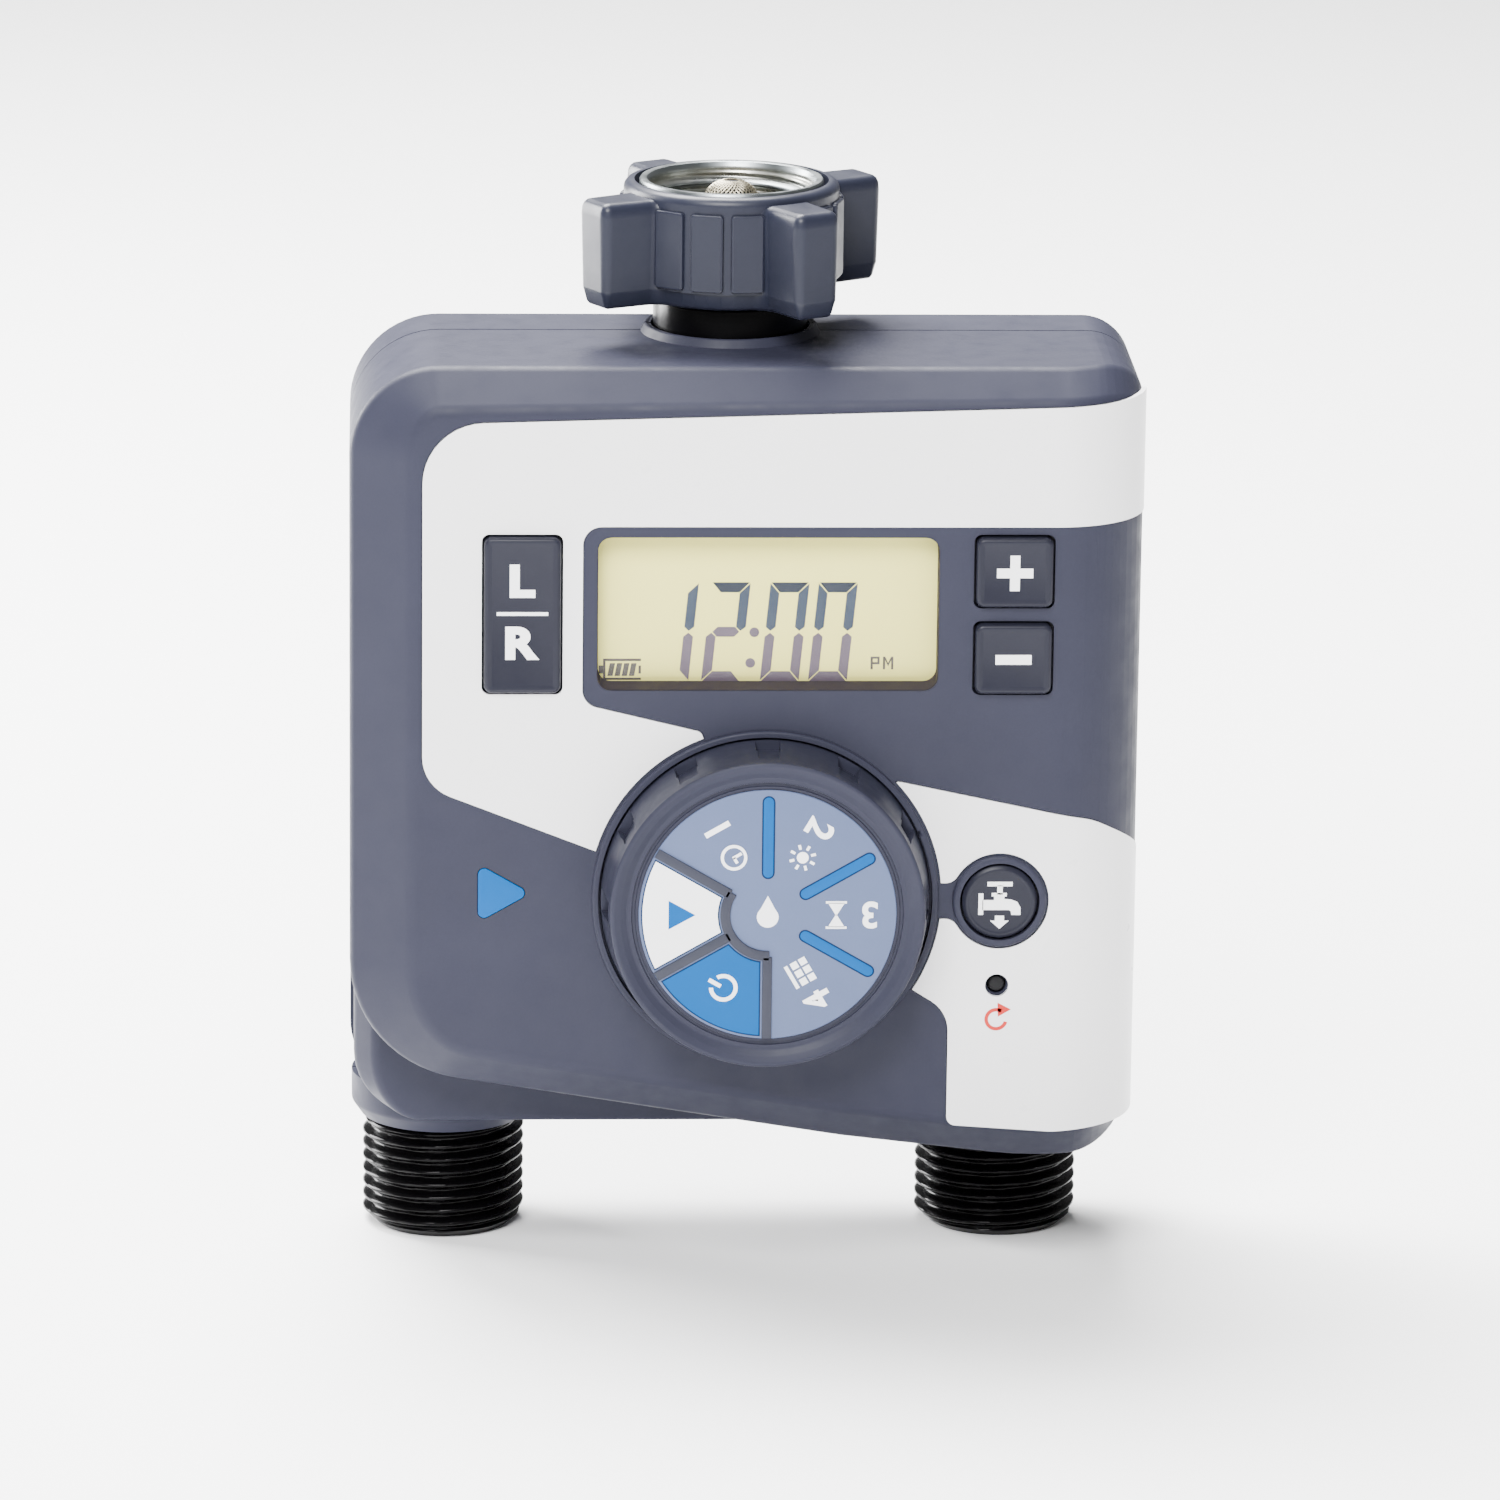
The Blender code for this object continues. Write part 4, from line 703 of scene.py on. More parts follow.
def make_front_shell():
    back_y = PIPE_Y + 3.0 * MM
    inner_y = PIPE_Y + 6.0 * MM
    shell = cover_solid("front_shell", 0.0, FACE_Y, back_y, WRAP_RADIUS)
    join(shell, block_solid("lower_block", 0.0, BLOCK_FRONT_Y, back_y))
    add_collars(shell)
    cut(shell, cover_solid("cover_cavity", WALL, FACE_Y + WALL, inner_y, WRAP_RADIUS - WALL),
        block_solid("block_cavity", WALL, BLOCK_FRONT_Y + WALL, inner_y))
    join(shell, peg("dial_boss", 29.4, 31.0, FACE_DEPTH - 0.7, DIAL_PLACE, "Y", 64))
    ring = [(0.0, FACE_DEPTH + 1.0, 0.0), (RING_RADIUS, FACE_DEPTH + 1.0, 0.45),
            (RING_RADIUS, FACE_DEPTH - 0.5, 0.0), (0.0, FACE_DEPTH - 0.5, 0.0)]
    join(shell, lathe("dial_ring", ring, DIAL_PLACE, "Y", 144, closed=False))
    rim = [(0.0, FACE_DEPTH + 0.8, 0.0), (MANUAL_RING, FACE_DEPTH + 0.8, 0.5),
           (MANUAL_RING + 0.25, FACE_DEPTH - 0.5, 0.0), (0.0, FACE_DEPTH - 0.5, 0.0)]
    join(shell, lathe("manual_rim", rim, MANUAL_PLACE, "Y", 72, closed=False))
    for x, z in UPPER_SCREWS + LOWER_SCREWS:
        front = 16.5 if z < 35.0 and x < 0.0 else 31.0
        place = facing(x * MM, z * MM)
        join(shell, peg("front_boss", 3.6, 0.5, front, place, "Y", 24))
        cut(shell, peg("pilot_hole", 1.6, -1.0, 13.0, place, "Y", 16))
    cut_front_openings(shell)
    pipe_holes(shell)
    cut(shell, block("front_seam", (-0.1, PIPE_Y - SEAM, -0.1), (0.1, PIPE_Y + 0.1, 0.3)))
    bake(shell, 24.0)
    weighted(shell)
    finish_piece(shell, "housing", "housing_plastic", HOUSING, "front_housing")


def cut_front_openings(shell):
    y_out, y_in = FACE_Y - 4.0 * MM, FACE_Y + 8.0 * MM
    cut(shell, plate("lcd_opening", rectangle(*LCD_SPAN, 2.3 * MM), y_out, y_in))
    for name, span in KEY_SPANS.items():
        hole = rectangle(*grown(span, 0.35 * MM), 1.2 * MM)
        cut(shell, plate(name + "_hole", hole, y_out, y_in))
    cut(shell, peg("dial_well", 27.0, FACE_DEPTH - 1.2, 46.0, DIAL_PLACE, "Y", 144),
        peg("shaft_hole", 3.9, 28.0, 46.0, DIAL_PLACE, "Y", 32),
        peg("manual_hole", 6.45, 28.0, 46.0, MANUAL_PLACE, "Y", 72),
        peg("reset_hole", 1.6, 28.0, 46.0, RESET_PLACE, "Y", 32))
    sunk = FACE_Y + PANEL_SINK + 0.25 * MM
    cut(shell, panel("upper_recess", UPPER_PANEL, FACE_Y - 3.0 * MM, sunk, 0.15),
        panel("lower_recess", LOWER_PANEL, FACE_Y - 3.0 * MM, sunk, 0.15),
        plate("pointer_recess", inset(rounded(POINTER), -0.12 * MM), y_out, sunk))


def make_face_trim():
    proud, sunk = FACE_Y - PANEL_PROUD, FACE_Y + PANEL_SINK
    upper = panel("upper_panel_skin", UPPER_PANEL, proud, sunk)
    lower = panel("lower_panel_skin", LOWER_PANEL, proud, sunk)
    for item, node in ((upper, "upper_panel"), (lower, "lower_panel")):
        weighted(item)
        finish_piece(item, "housing", "white_panel", WHITE, node)
    pointer = plate("pointer_inlay", rounded(POINTER), proud, sunk, 0.1 * MM)
    finish_piece(pointer, "housing", "blue_mark", BLUE, "pointer_mark")


# ---------------------------------------------------------------- rear shell, door and screws

BAY_LOW, BAY_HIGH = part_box("battery_door")
BAY_X = 32.5 * MM
BAY_Z = (64.0 * MM, 104.0 * MM)
BAY_WALL = 1.8 * MM
BAY_FLOOR_Y = PIPE_Y + 10.0 * MM
BAY_BACK_Y = PIPE_Y + 25.0 * MM


def make_rear_shell():
    outline = rounded(REAR_CORNERS, 16)
    bevel = 4.5 * MM
    loops = [standing(outline, PIPE_Y - 3.0 * MM)] + rim_loops(outline, BACK_Y, bevel, 9, 11.25)
    shell = mesh_object("rear_shell", stack(loops), 24.0)
    side = BAY_X + BAY_WALL
    low_z, high_z = BAY_Z[0] - BAY_WALL, BAY_Z[1] + BAY_WALL
    bay = rectangle(-side, side, low_z, high_z, 3.0 * MM)
    bulge = [standing(inset(bay, -flare * MM), BACK_Y + y * MM)
             for y, flare in ((-0.5, 1.6), (0.3, 0.9), (1.0, 0.35), (2.0, 0.0))]
    bulge.append(standing(bay, BAY_BACK_Y))
    join(shell, mesh_object("bay_bulge", stack(bulge), 24.0))
    add_collars(shell)
    cavity = stack([standing(inset(outline, WALL), PIPE_Y - 6.0 * MM),
                    standing(inset(outline, WALL), BACK_Y - bevel),
                    standing(inset(outline, WALL + 3.2 * MM), BACK_Y - WALL)])
    cut(shell, mesh_object("rear_cavity", cavity))
    inset_x = side - 0.01 * MM
    join(shell, block("bay_box", (-inset_x, BAY_FLOOR_Y - 1.0 * MM, low_z + 0.01 * MM),
                      (inset_x, BAY_BACK_Y - 1.0 * MM, high_z - 0.01 * MM)))
    cut(shell, block("bay_hollow", (-BAY_X, BAY_FLOOR_Y, BAY_Z[0]), (BAY_X, 0.1, BAY_Z[1])))
    for x, z in UPPER_SCREWS + LOWER_SCREWS:
        place = facing(x * MM, z * MM)
        join(shell, peg("rear_boss", 4.7, -15.5, 0.5, place, "Y", 32))
        cut(shell, peg("screw_hole", 1.8, -20.0, 4.0, place, "Y", 24),
            peg("head_hole", 3.4, -20.0, -11.5, place, "Y", 32))
    pipe_holes(shell)
    cut(shell, block("rear_seam", (-0.1, -0.1, -0.1), (0.1, PIPE_Y + SEAM, 0.3)))
    bake(shell, 24.0)
    weighted(shell)
    finish_piece(shell, "housing", "housing_plastic", HOUSING, "rear_housing")


def make_gasket():
    """Rubber seal in the seam between the two shells."""
    outline = rounded(REAR_CORNERS, 16)
    faces = (PIPE_Y - SEAM + 0.01 * MM, PIPE_Y + SEAM - 0.01 * MM)
    loops = [standing(inset(outline, edge), faces[side])
             for edge, side in ((0.7 * MM, 0), (0.7 * MM, 1), (WALL - 0.2 * MM, 1),
                                (WALL - 0.2 * MM, 0))]
    gasket = mesh_object("seam_gasket", stack(loops, closed_round=True))
    pipe_holes(gasket)
    bake(gasket)
    finish_piece(gasket, "housing", "rubber", RUBBER)


def make_door():
    """Sliding door: crowned plate with a rounded rim, grip ribs and an arrow."""
    outline = box_outline(BAY_LOW, BAY_HIGH, 3.5 * MM, 10)
    front, back = BAY_BACK_Y + 0.3 * MM, BAY_HIGH.y
    loops = [standing(outline, front)] + rim_loops(outline, back, 1.0 * MM, 6, 18.0)
    door = mesh_object("door_leaf", stack(loops), 24.0)
    middle_x = (BAY_LOW.x + BAY_HIGH.x) / 2
    for row in range(5):
        z = BAY_HIGH.z - 8.0 * MM - 2.2 * MM * row
        groove = rectangle(middle_x - 9.0 * MM, middle_x + 9.0 * MM, z, z + 1.1 * MM, 0.5 * MM)
        cut(door, plate("grip_groove", groove, back - 0.6 * MM, back + 1.0 * MM))
    low = BAY_LOW.z / MM + 13.0
    arrow = [(0.0, low, 0.4), (5.0, low + 6.0, 0.4), (1.8, low + 6.0, 0.0), (1.8, low + 12.0, 0.3),
             (-1.8, low + 12.0, 0.3), (-1.8, low + 6.0, 0.0), (-5.0, low + 6.0, 0.4)]
    cut(door, plate("arrow_mark", rounded(arrow, 4), back - 0.5 * MM, back + 1.0 * MM))
    bake(door, 24.0)
    weighted(door)
    finish_piece(door, "door", "housing_plastic", HOUSING, "battery_door")


def make_screws():
    """Pan-head screws with a cross recess, down in their holes."""
    for node, (x, z) in zip(SCREW_NODES, UPPER_SCREWS + LOWER_SCREWS):
        place = facing(x * MM, z * MM)
        profile = [(0.0, 10.0, 0.0), (1.2, 8.6, 0.0), (1.3, -11.9, 0.0), (2.9, -11.9, 0.3),
                   (2.7, -14.0, 0.9), (0.0, -14.3, 0.0)]
        screw = lathe(node + "_fine", profile, place, "Y", 32, closed=False)
        for turn in (0.0, math.pi / 2):
            spin = Matrix.Rotation(turn, 4, "Y")
            slot = block("cross_slot", (-2.0 * MM, -0.9 * MM, -0.4 * MM),
                         (2.0 * MM, 0.9 * MM, 0.4 * MM))
            slot.data.transform(Matrix.Translation(place + Vector((0.0, 13.9 * MM, 0.0))) @ spin)
            cut(screw, slot)
        bake(screw)
        finish_piece(screw, "housing", "steel", STEEL, node)


# ---------------------------------------------------------------- water path

THREAD_PITCH = 25.4 / 11.5
THREAD_CREST, THREAD_ROOT = 13.35, 12.0
INNER_THREAD_ROOT = 12.25
THREAD_END = 18.3                    # height where an outlet's thread dies away


def share_of(value):
    """Value held between 0 and 1."""
    return min(1.0, max(0.0, value))


def thread_wave(height, turn, crest, root, flat=0.10):
    """Radius in millimetres of a soft-edged V thread at a height and an angle."""
    phase = (height / THREAD_PITCH - turn / math.tau) % 1.0
    rise = 1.0 - abs(2.0 * phase - 1.0)
    shape = share_of((rise - flat) / (1.0 - 2.0 * flat))
    smooth = shape * shape * (3.0 - 2.0 * shape)
    return root + (crest - root) * (0.20 * shape + 0.80 * smooth)


def ring_of(radius_at, height, place, steps):
    row = []
    for step in range(steps):
        turn = math.tau * step / steps
        row.append(place + Vector((*ray(radius_at(height, turn) * MM, turn), height * MM)))
    return row


def outlet_radius(height, turn):
    """Outer wall of an outlet: lead-in at the mouth, thread, then a plain collar."""
    thread = thread_wave(height, turn, THREAD_CREST, THREAD_ROOT)
    lead_in = THREAD_ROOT - 0.9 + 1.1 * height
    fade = share_of((THREAD_END - height) / 1.2)
    return min(THREAD_ROOT + (thread - THREAD_ROOT) * fade, max(lead_in, THREAD_ROOT - 0.9))


def make_outlet(name, x):
    place = at_pipe(x)
    steps = 96
    rows = [ring_of(lambda h, t: 12.3, 54.0, place, steps),
            ring_of(lambda h, t: 12.3, 36.0, place, steps),
            ring_of(lambda h, t: THREAD_ROOT, 35.0, place, steps),
            ring_of(lambda h, t: THREAD_ROOT, 19.0, place, steps)]
    count = 104
    for index in range(count + 1):
        rows.append(ring_of(outlet_radius, 18.8 * (1.0 - index / count), place, steps))
    for radius, height in ((10.6, 0.0), (9.5, 0.0), (9.1, 0.15), (9.0, 0.6), (9.0, 30.0),
                           (5.4, 32.0), (5.4, 52.0), (7.0, 52.0), (7.0, 38.4), (10.8, 38.4),
                           (10.8, 54.0)):
        rows.append(ring_of(lambda h, t, r=radius: r, height, place, steps))
    return mesh_object(name, stack(rows, closed_round=True), 40.0)


def make_manifold():
    """One moulding: neck and inlet pipe, cross pipe, two valve chambers, two outlets."""
    inlet = at_pipe(INLET_X)
    profile = [(0.0, 163.2, 0.0), (9.8, 163.2, 0.3), (9.8, 162.1, 0.0), (9.2, 162.1, 0.0),
               (9.2, 160.3, 0.0), (9.8, 160.3, 0.0), (9.8, 157.0, 0.0), (12.6, 157.0, 0.6),
               (12.6, 148.0, 0.0), (8.4, 146.0, 0.0), (8.4, 34.0, 0.0), (0.0, 34.0, 0.0)]
    body = lathe("water_manifold", profile, inlet, steps=72, closed=False)
    cross = Vector((0.0, PIPE_Y, 43.0 * MM))
    reach = 11.0 * MM
    length = (OUTLETS_X[1] - OUTLETS_X[0] - 2 * reach) / MM
    pipes = []
    for radius, spare in ((7.4, 0.0), (5.3, 2.0)):
        pipe = peg("cross_pipe", radius, 0.0, length + 2 * spare, Vector(), "Z", 48)
        pipe.data.transform(Matrix.Rotation(math.radians(90.0), 4, "Y"))
        pipe.data.transform(Matrix.Translation(
            (OUTLETS_X[0] + reach - spare * MM, cross.y, cross.z)))
        pipes.append(pipe)
    join(body, pipes[0])
    for side, x in zip(("left", "right"), OUTLETS_X):
        join(body, make_outlet(side + "_outlet", x))
    cut(body, peg("inlet_bore", 6.4, 43.0, 170.0, inlet), pipes[1])
    bake(body, 40.0)
    finish_piece(body, "housing", "black_plastic", BLACK, "valve_manifold")


# ---------------------------------------------------------------- swivel nut

LUG_ANGLES = (30.0, 120.0, 210.0, 300.0)
NUT_RADIUS = 17.4
NUT_LOW_Z, NUT_HIGH_Z = NUT_LOW.z / MM, NUT_HIGH.z / MM
LUG_REACH, LUG_HALF = 26.6, 4.6


def lug_outline():
    """Star of four lugs round the nut, with filleted roots and rounded outer corners."""
    corners = []
    for angle in LUG_ANGLES:
        spin = Matrix.Rotation(math.radians(angle), 2)
        root = math.sqrt(NUT_RADIUS ** 2 - LUG_HALF ** 2)
        tip_half = LUG_HALF - 0.5
        side = [(root, -LUG_HALF, 2.2), (LUG_REACH, -tip_half, 1.7), (LUG_REACH, tip_half, 1.7),
                (root, LUG_HALF, 2.2)]
        corners += [(*(spin @ Vector(p[:2])), p[2]) for p in side]
        start = angle + math.degrees(math.asin(LUG_HALF / NUT_RADIUS))
        for share in range(2, 7):
            turn = math.radians(start + (90.0 - 2 * (start - angle)) * share / 8)
            corners.append((*ray(NUT_RADIUS, turn), 3.0))
    return rounded(corners, 8)


def lying(points, height, place):
    return [Vector((p.x, p.y, height * MM)) + place for p in points]


def make_nut():
    inlet = at_pipe(INLET_X)
    star = lug_outline()
    loops = []
    for height, distance in ((NUT_LOW_Z, 1.55), (NUT_LOW_Z + 0.15, 1.25), (NUT_LOW_Z + 0.6, 0.90),
                             (NUT_LOW_Z + 2.4, 0.42), (NUT_LOW_Z + 2.7, 0.30),
                             (NUT_LOW_Z + 3.0, 0.28), (NUT_HIGH_Z - 3.6, 0.0),
                             (NUT_HIGH_Z - 2.4, 0.12), (NUT_HIGH_Z - 1.75, 0.45),
                             (NUT_HIGH_Z - 1.35, 0.95), (NUT_HIGH_Z - 1.2, 1.5)):
        loops.append(lying(inset(star, distance * MM), height, inlet))
    nut = mesh_object("nut_body", stack(loops), 30.0)
    rim = [(0.0, NUT_HIGH_Z, 0.0), (NUT_RADIUS + 0.1, NUT_HIGH_Z, 1.4),
           (NUT_RADIUS + 0.12, NUT_LOW_Z + 2.85, 0.0), (0.0, NUT_LOW_Z + 2.85, 0.0)]
    join(nut, lathe("nut_rim", rim, inlet, steps=144, closed=False, fillet=8))
    join(nut, make_nut_pads(inlet))
    cut(nut, peg("nut_bore", 15.75, NUT_LOW_Z + 2.6, 190.0, inlet, steps=128),
        peg("nut_web_hole", 10.2, 150.0, 170.0, inlet, steps=96))
    bake(nut, 30.0)
    weighted(nut)
    finish_piece(nut, "nut", "housing_plastic", NUT, "swivel_nut")


def make_nut_pads(place):
    """Three raised pads on the nut's wall in each gap between lugs."""
    bm = bmesh.new()
    for gap in (75.0, 165.0, 255.0, 345.0):
        for offset in (-21.3, 0.1, 21.5):
            add_pad(bm, math.radians(gap + offset), place)
    return mesh_object("nut_pads", bm, 30.0)


def add_pad(bm, middle, place, half_turn=math.radians(8.7)):
    low, high = NUT_LOW_Z + 3.2, NUT_HIGH_Z - 2.6
    half_width = NUT_RADIUS * half_turn
    outline = rounded([(-half_width, low, 0.6), (half_width, low, 0.6),
                       (half_width, high, 0.6), (-half_width, high, 0.6)], 4)
    rows = []
    for depth, shrink in ((-0.8, 0.0), (0.45, 0.0), (0.72, 0.12), (0.84, 0.40)):
        row = []
        for point in inset(outline, shrink * MM):
            turn = middle + point.x / (NUT_RADIUS * MM)
            radius = (NUT_RADIUS + depth) * MM
            row.append(place + Vector((*ray(radius, turn), point.y)))
        rows.append(row)
    stack(rows, bm=bm)


def make_insert():
    """Metal insert: rolled top edge and the thread that takes the tap."""
    place = at_pipe(INLET_X)
    steps = 96
    top = INSERT_TOP

    def inner(height, turn):
        fade = share_of((top - 1.6 - height) / 0.8)
        thread = thread_wave(height, turn, THREAD_CREST, INNER_THREAD_ROOT)
        return THREAD_CREST - (THREAD_CREST - thread) * fade

    rows = []
    for radius, height in ((15.6, 162.4), (15.2, 166.0), (14.95, top - 0.4), (14.7, top - 0.05),
                           (14.2, top), (13.75, top - 0.15), (13.45, top - 0.7)):
        rows.append(ring_of(lambda h, t, r=radius: r, height, place, steps))
    count = 70
    for index in range(count + 1):
        height = (top - 1.0) + (163.0 - top + 1.0) * index / count
        rows.append(ring_of(inner, height, place, steps))
    rows.append(ring_of(lambda h, t: THREAD_CREST, 162.4, place, steps))
    insert = mesh_object("insert_thread", stack(rows, closed_round=True), 40.0)
    finish_piece(insert, "nut", "zinc", ZINC, "nut_insert")


FILTER_BASE, FILTER_SHOULDER, FILTER_TOP = 164.4, 171.5, 175.72
FILTER_RADIUS = 4.4
FILTER_WIRES = 34                    # in each of the two families


def dome_radius(height):
    """Filter screen's radius at a height: a flaring skirt under a rounded top."""
    above = height - FILTER_SHOULDER
    if above <= 0.0:
        return FILTER_RADIUS - above * 0.18
    return FILTER_RADIUS * math.sqrt(max(0.0, 1.0 - (above / 4.35) ** 2.8))


def tube_rows(bm, points, radius, sides=5):
    """Closed round wire through points."""
    rows = []
    for index, point in enumerate(points):
        ahead = points[min(index + 1, len(points) - 1)] - points[max(index - 1, 0)]
        turn = ahead.to_track_quat("Z", "Y")
        rows.append([point + turn @ Vector((*ray(radius, math.tau * s / sides), 0.0))
                     for s in range(sides)])
    stack(rows, bm=bm)


def make_filter():
    """Woven dome: two families of wires that cross, over a fine backing and a rolled base; the
    backing's near-black colour is painted shade of the hollow inside the dome.
    """
    place = at_pipe(INLET_X)
    bm = bmesh.new()
    for way in (-1.0, 1.0):
        for wire in range(FILTER_WIRES):
            points = []
            for step in range(23):
                share = step / 22
                rise = math.sin(share * math.pi / 2)
                height = FILTER_BASE + (FILTER_TOP - FILTER_BASE) * rise
                turn = math.tau * wire / FILTER_WIRES + way * share * 1.9
                weave = 0.05 * math.sin(step * math.pi + wire * math.pi)
                radius = (dome_radius(height) + 0.06 + weave) * MM
                points.append(place + Vector((*ray(radius, turn), height * MM)))
            tube_rows(bm, points, 0.11 * MM)
    wires_item = mesh_object("filter_wires", bm, 60.0)
    finish_piece(wires_item, "housing", "steel", MESH_WIRE, "filter_screen")
    profile = [(0.0, 175.65, 0.0)]
    for step in range(1, 12):
        height = 175.65 - 11.2 * (1.0 - math.cos(step / 11 * math.pi / 2))
        profile.append((dome_radius(height) - 0.10, height, 0.0))
    profile += [(6.9, FILTER_BASE, 0.25), (6.7, 163.5, 0.25), (5.0, 163.5, 0.0), (3.7, 171.4, 0.0),
                (2.9, 174.0, 0.0), (0.0, 175.0, 0.0)]
    # Near-black backing under the wires: painted shade of the hollow inside the dome.
    shade_backing = lathe("filter_shaded_backing", profile, place, steps=48, closed=False)
    finish_piece(shade_backing, "housing", "steel", RUBBER)


def make_washer():
    profile = [(12.9, 165.8, 0.5), (12.9, 163.5, 0.5), (7.0, 163.5, 0.4), (7.0, 165.8, 0.4)]
    washer = lathe("seal_washer", profile, at_pipe(INLET_X), steps=72)
    finish_piece(washer, "housing", "rubber", RUBBER, "inlet_washer")


# ---------------------------------------------------------------- dial

DISC_RADIUS = 20.7
DISC_TOP = 44.30                     # millimetres forward of the pipe axes
EDGE_TOP = 44.33                     # dark outline round a print
PRINT_TOP = 44.36
RIB_TOP = 44.62
BASE_FORWARD = 33.5


def forward_of_pipe(height):
    return PIPE_Y - height * MM


def relief(name, points, low, high, edge=0.0):
    """Raised shape on the face or the dial, between two heights forward of the pipe axes."""
    return plate(name, points, forward_of_pipe(high), forward_of_pipe(low), edge * MM)


def make_knob():
    front = (PIPE_Y - KNOB_FRONT_Y) / MM
    profile = [(0.0, 43.9, 0.0), (20.9, 43.9, 0.0), (21.2, 43.9, 0.0), (21.3, 43.55, 0.0),
               (21.75, 43.55, 0.0), (21.85, 43.9, 0.0), (22.6, 43.9, 0.6), (23.6, 44.55, 1.5),
               (24.6, front, 0.6), (25.3, front, 0.55), (26.7, BASE_FORWARD, 0.0),
               (24.8, BASE_FORWARD, 0.0), (23.6, 42.2, 0.0), (6.4, 42.2, 0.0),
               (6.4, BASE_FORWARD, 0.0), (3.8, BASE_FORWARD, 0.0), (3.8, 42.6, 0.0),
               (0.0, 42.6, 0.0)]
    knob = lathe("knob_body", profile, DIAL_PLACE, "Y", 192, closed=False, smooth=28.0)
    for notch in range(12):
        spin = Matrix.Rotation(math.tau * notch / 12, 4, "Y")
        for name, low, high, inner, half in (("notch_deep", 35.0, 39.6, 24.9, 1.95),
                                             ("notch_step", 39.4, 42.9, 25.35, 1.7)):
            shape = block(name, (inner * MM, forward_of_pipe(high), -half * MM),
                          (28.5 * MM, forward_of_pipe(low), half * MM))
            shift = Matrix.Translation(Vector((DIAL_X, 0.0, DIAL_Z))) @ spin
            shape.data.transform(shift)
            cut(knob, shape)
    bake(knob, 28.0)
    weighted(knob)
    finish_piece(knob, "dial", "housing_plastic", KNOB, "dial_knob")


def polar(radius, degrees):
    """Place on the dial, from its centre."""
    return Vector((DIAL_X, DIAL_Z)) + Vector(ray(radius * MM, math.radians(degrees)))


def wedge(inner, outer, start, end, margin, steps=18):
    """Sector between two radii whose straight sides keep a margin from the spokes."""
    outer_slip = math.degrees(math.asin(margin / outer))
    inner_slip = math.degrees(math.asin(margin / inner))
    points = []
    for step in range(steps + 1):
        share = step / steps
        points.append(polar(outer, start + outer_slip + (end - start - 2 * outer_slip) * share))
    for step in range(steps + 1):
        share = 1.0 - step / steps
        points.append(polar(inner, start + inner_slip + (end - start - 2 * inner_slip) * share))
    return points


def bar(degrees, inner, outer, width, end_steps=8):
    """Bar with round ends that points away from the dial's centre."""
    turn = math.radians(degrees)
    along = Vector((math.cos(turn), math.sin(turn)))
    across = Vector((-along.y, along.x))
    centre = Vector((DIAL_X, DIAL_Z))
    half = width / 2
    points = []
    for middle, sign in ((outer - half, 1.0), (inner + half, -1.0)):
        for step in range(end_steps + 1):
            swing = math.pi * (step / end_steps - 0.5)
            reach = (along * math.cos(swing) + across * math.sin(swing)) * half * sign
            points.append(centre + (along * middle + reach) * MM)
    return points


def on_disc(name, points, top, material, edge=0.0, slot="dial_print"):
    finish_piece(relief(name, points, DISC_TOP - 0.1, top, edge), "dial", slot, material)


def make_disc():
    profile = [(0.0, DISC_TOP, 0.0), (DISC_RADIUS, DISC_TOP, 0.2), (DISC_RADIUS, 44.0, 0.0),
               (0.0, 44.0, 0.0)]
    disc = lathe("dial_disc", profile, DIAL_PLACE, "Y", 144, closed=False)
    finish_piece(disc, "dial", "dial_print", DISC, "dial_label")
    for degrees in (150.0, 210.0, 270.0):
        on_disc("disc_rib_%d" % degrees, wedge_rib(degrees), RIB_TOP, RIB, 0.12, "housing_plastic")
    on_disc("disc_rib_arc", arc_band(6.0, 7.6, 147.0, 273.0), RIB_TOP, RIB, 0.12,
            "housing_plastic")
    for name, start, fill in (("run", 150.0, WHITE_PRINT), ("off", 210.0, BLUE)):
        outline = wedge(7.8, 20.3, start, start + 60.0, 1.05)
        on_disc(name + "_sector_edge", outline, EDGE_TOP, BLUE_EDGE)
        on_disc(name + "_sector", inset(outline, 0.22 * MM), PRINT_TOP, fill)
    for degrees in (90.0, 30.0, -30.0):
        name = "sector_bar_%d" % (degrees + 30.0)
        on_disc(name + "_edge", bar(degrees, 5.95, 19.75, 2.1), EDGE_TOP, BLUE_EDGE)
        on_disc(name, bar(degrees, 6.2, 19.5, 1.62), PRINT_TOP, BLUE, 0.03)
    print_dial()


def wedge_rib(degrees, half=0.78):
    """Straight spoke from the hub arc to the disc's edge."""
    turn = math.radians(degrees)
    along = Vector((math.cos(turn), math.sin(turn)))
    across = Vector((-along.y, along.x))
    centre = Vector((DIAL_X, DIAL_Z))
    places = ((7.0, -half), (20.6, -half), (20.6, half), (7.0, half))
    return [centre + (along * reach + across * side) * MM for reach, side in places]


def arc_band(inner, outer, start, end, steps=36):
    turns = [start + (end - start) * step / steps for step in range(steps + 1)]
    return [polar(outer, t) for t in turns] + [polar(inner, t) for t in reversed(turns)]


# ---------------------------------------------------------------- prints

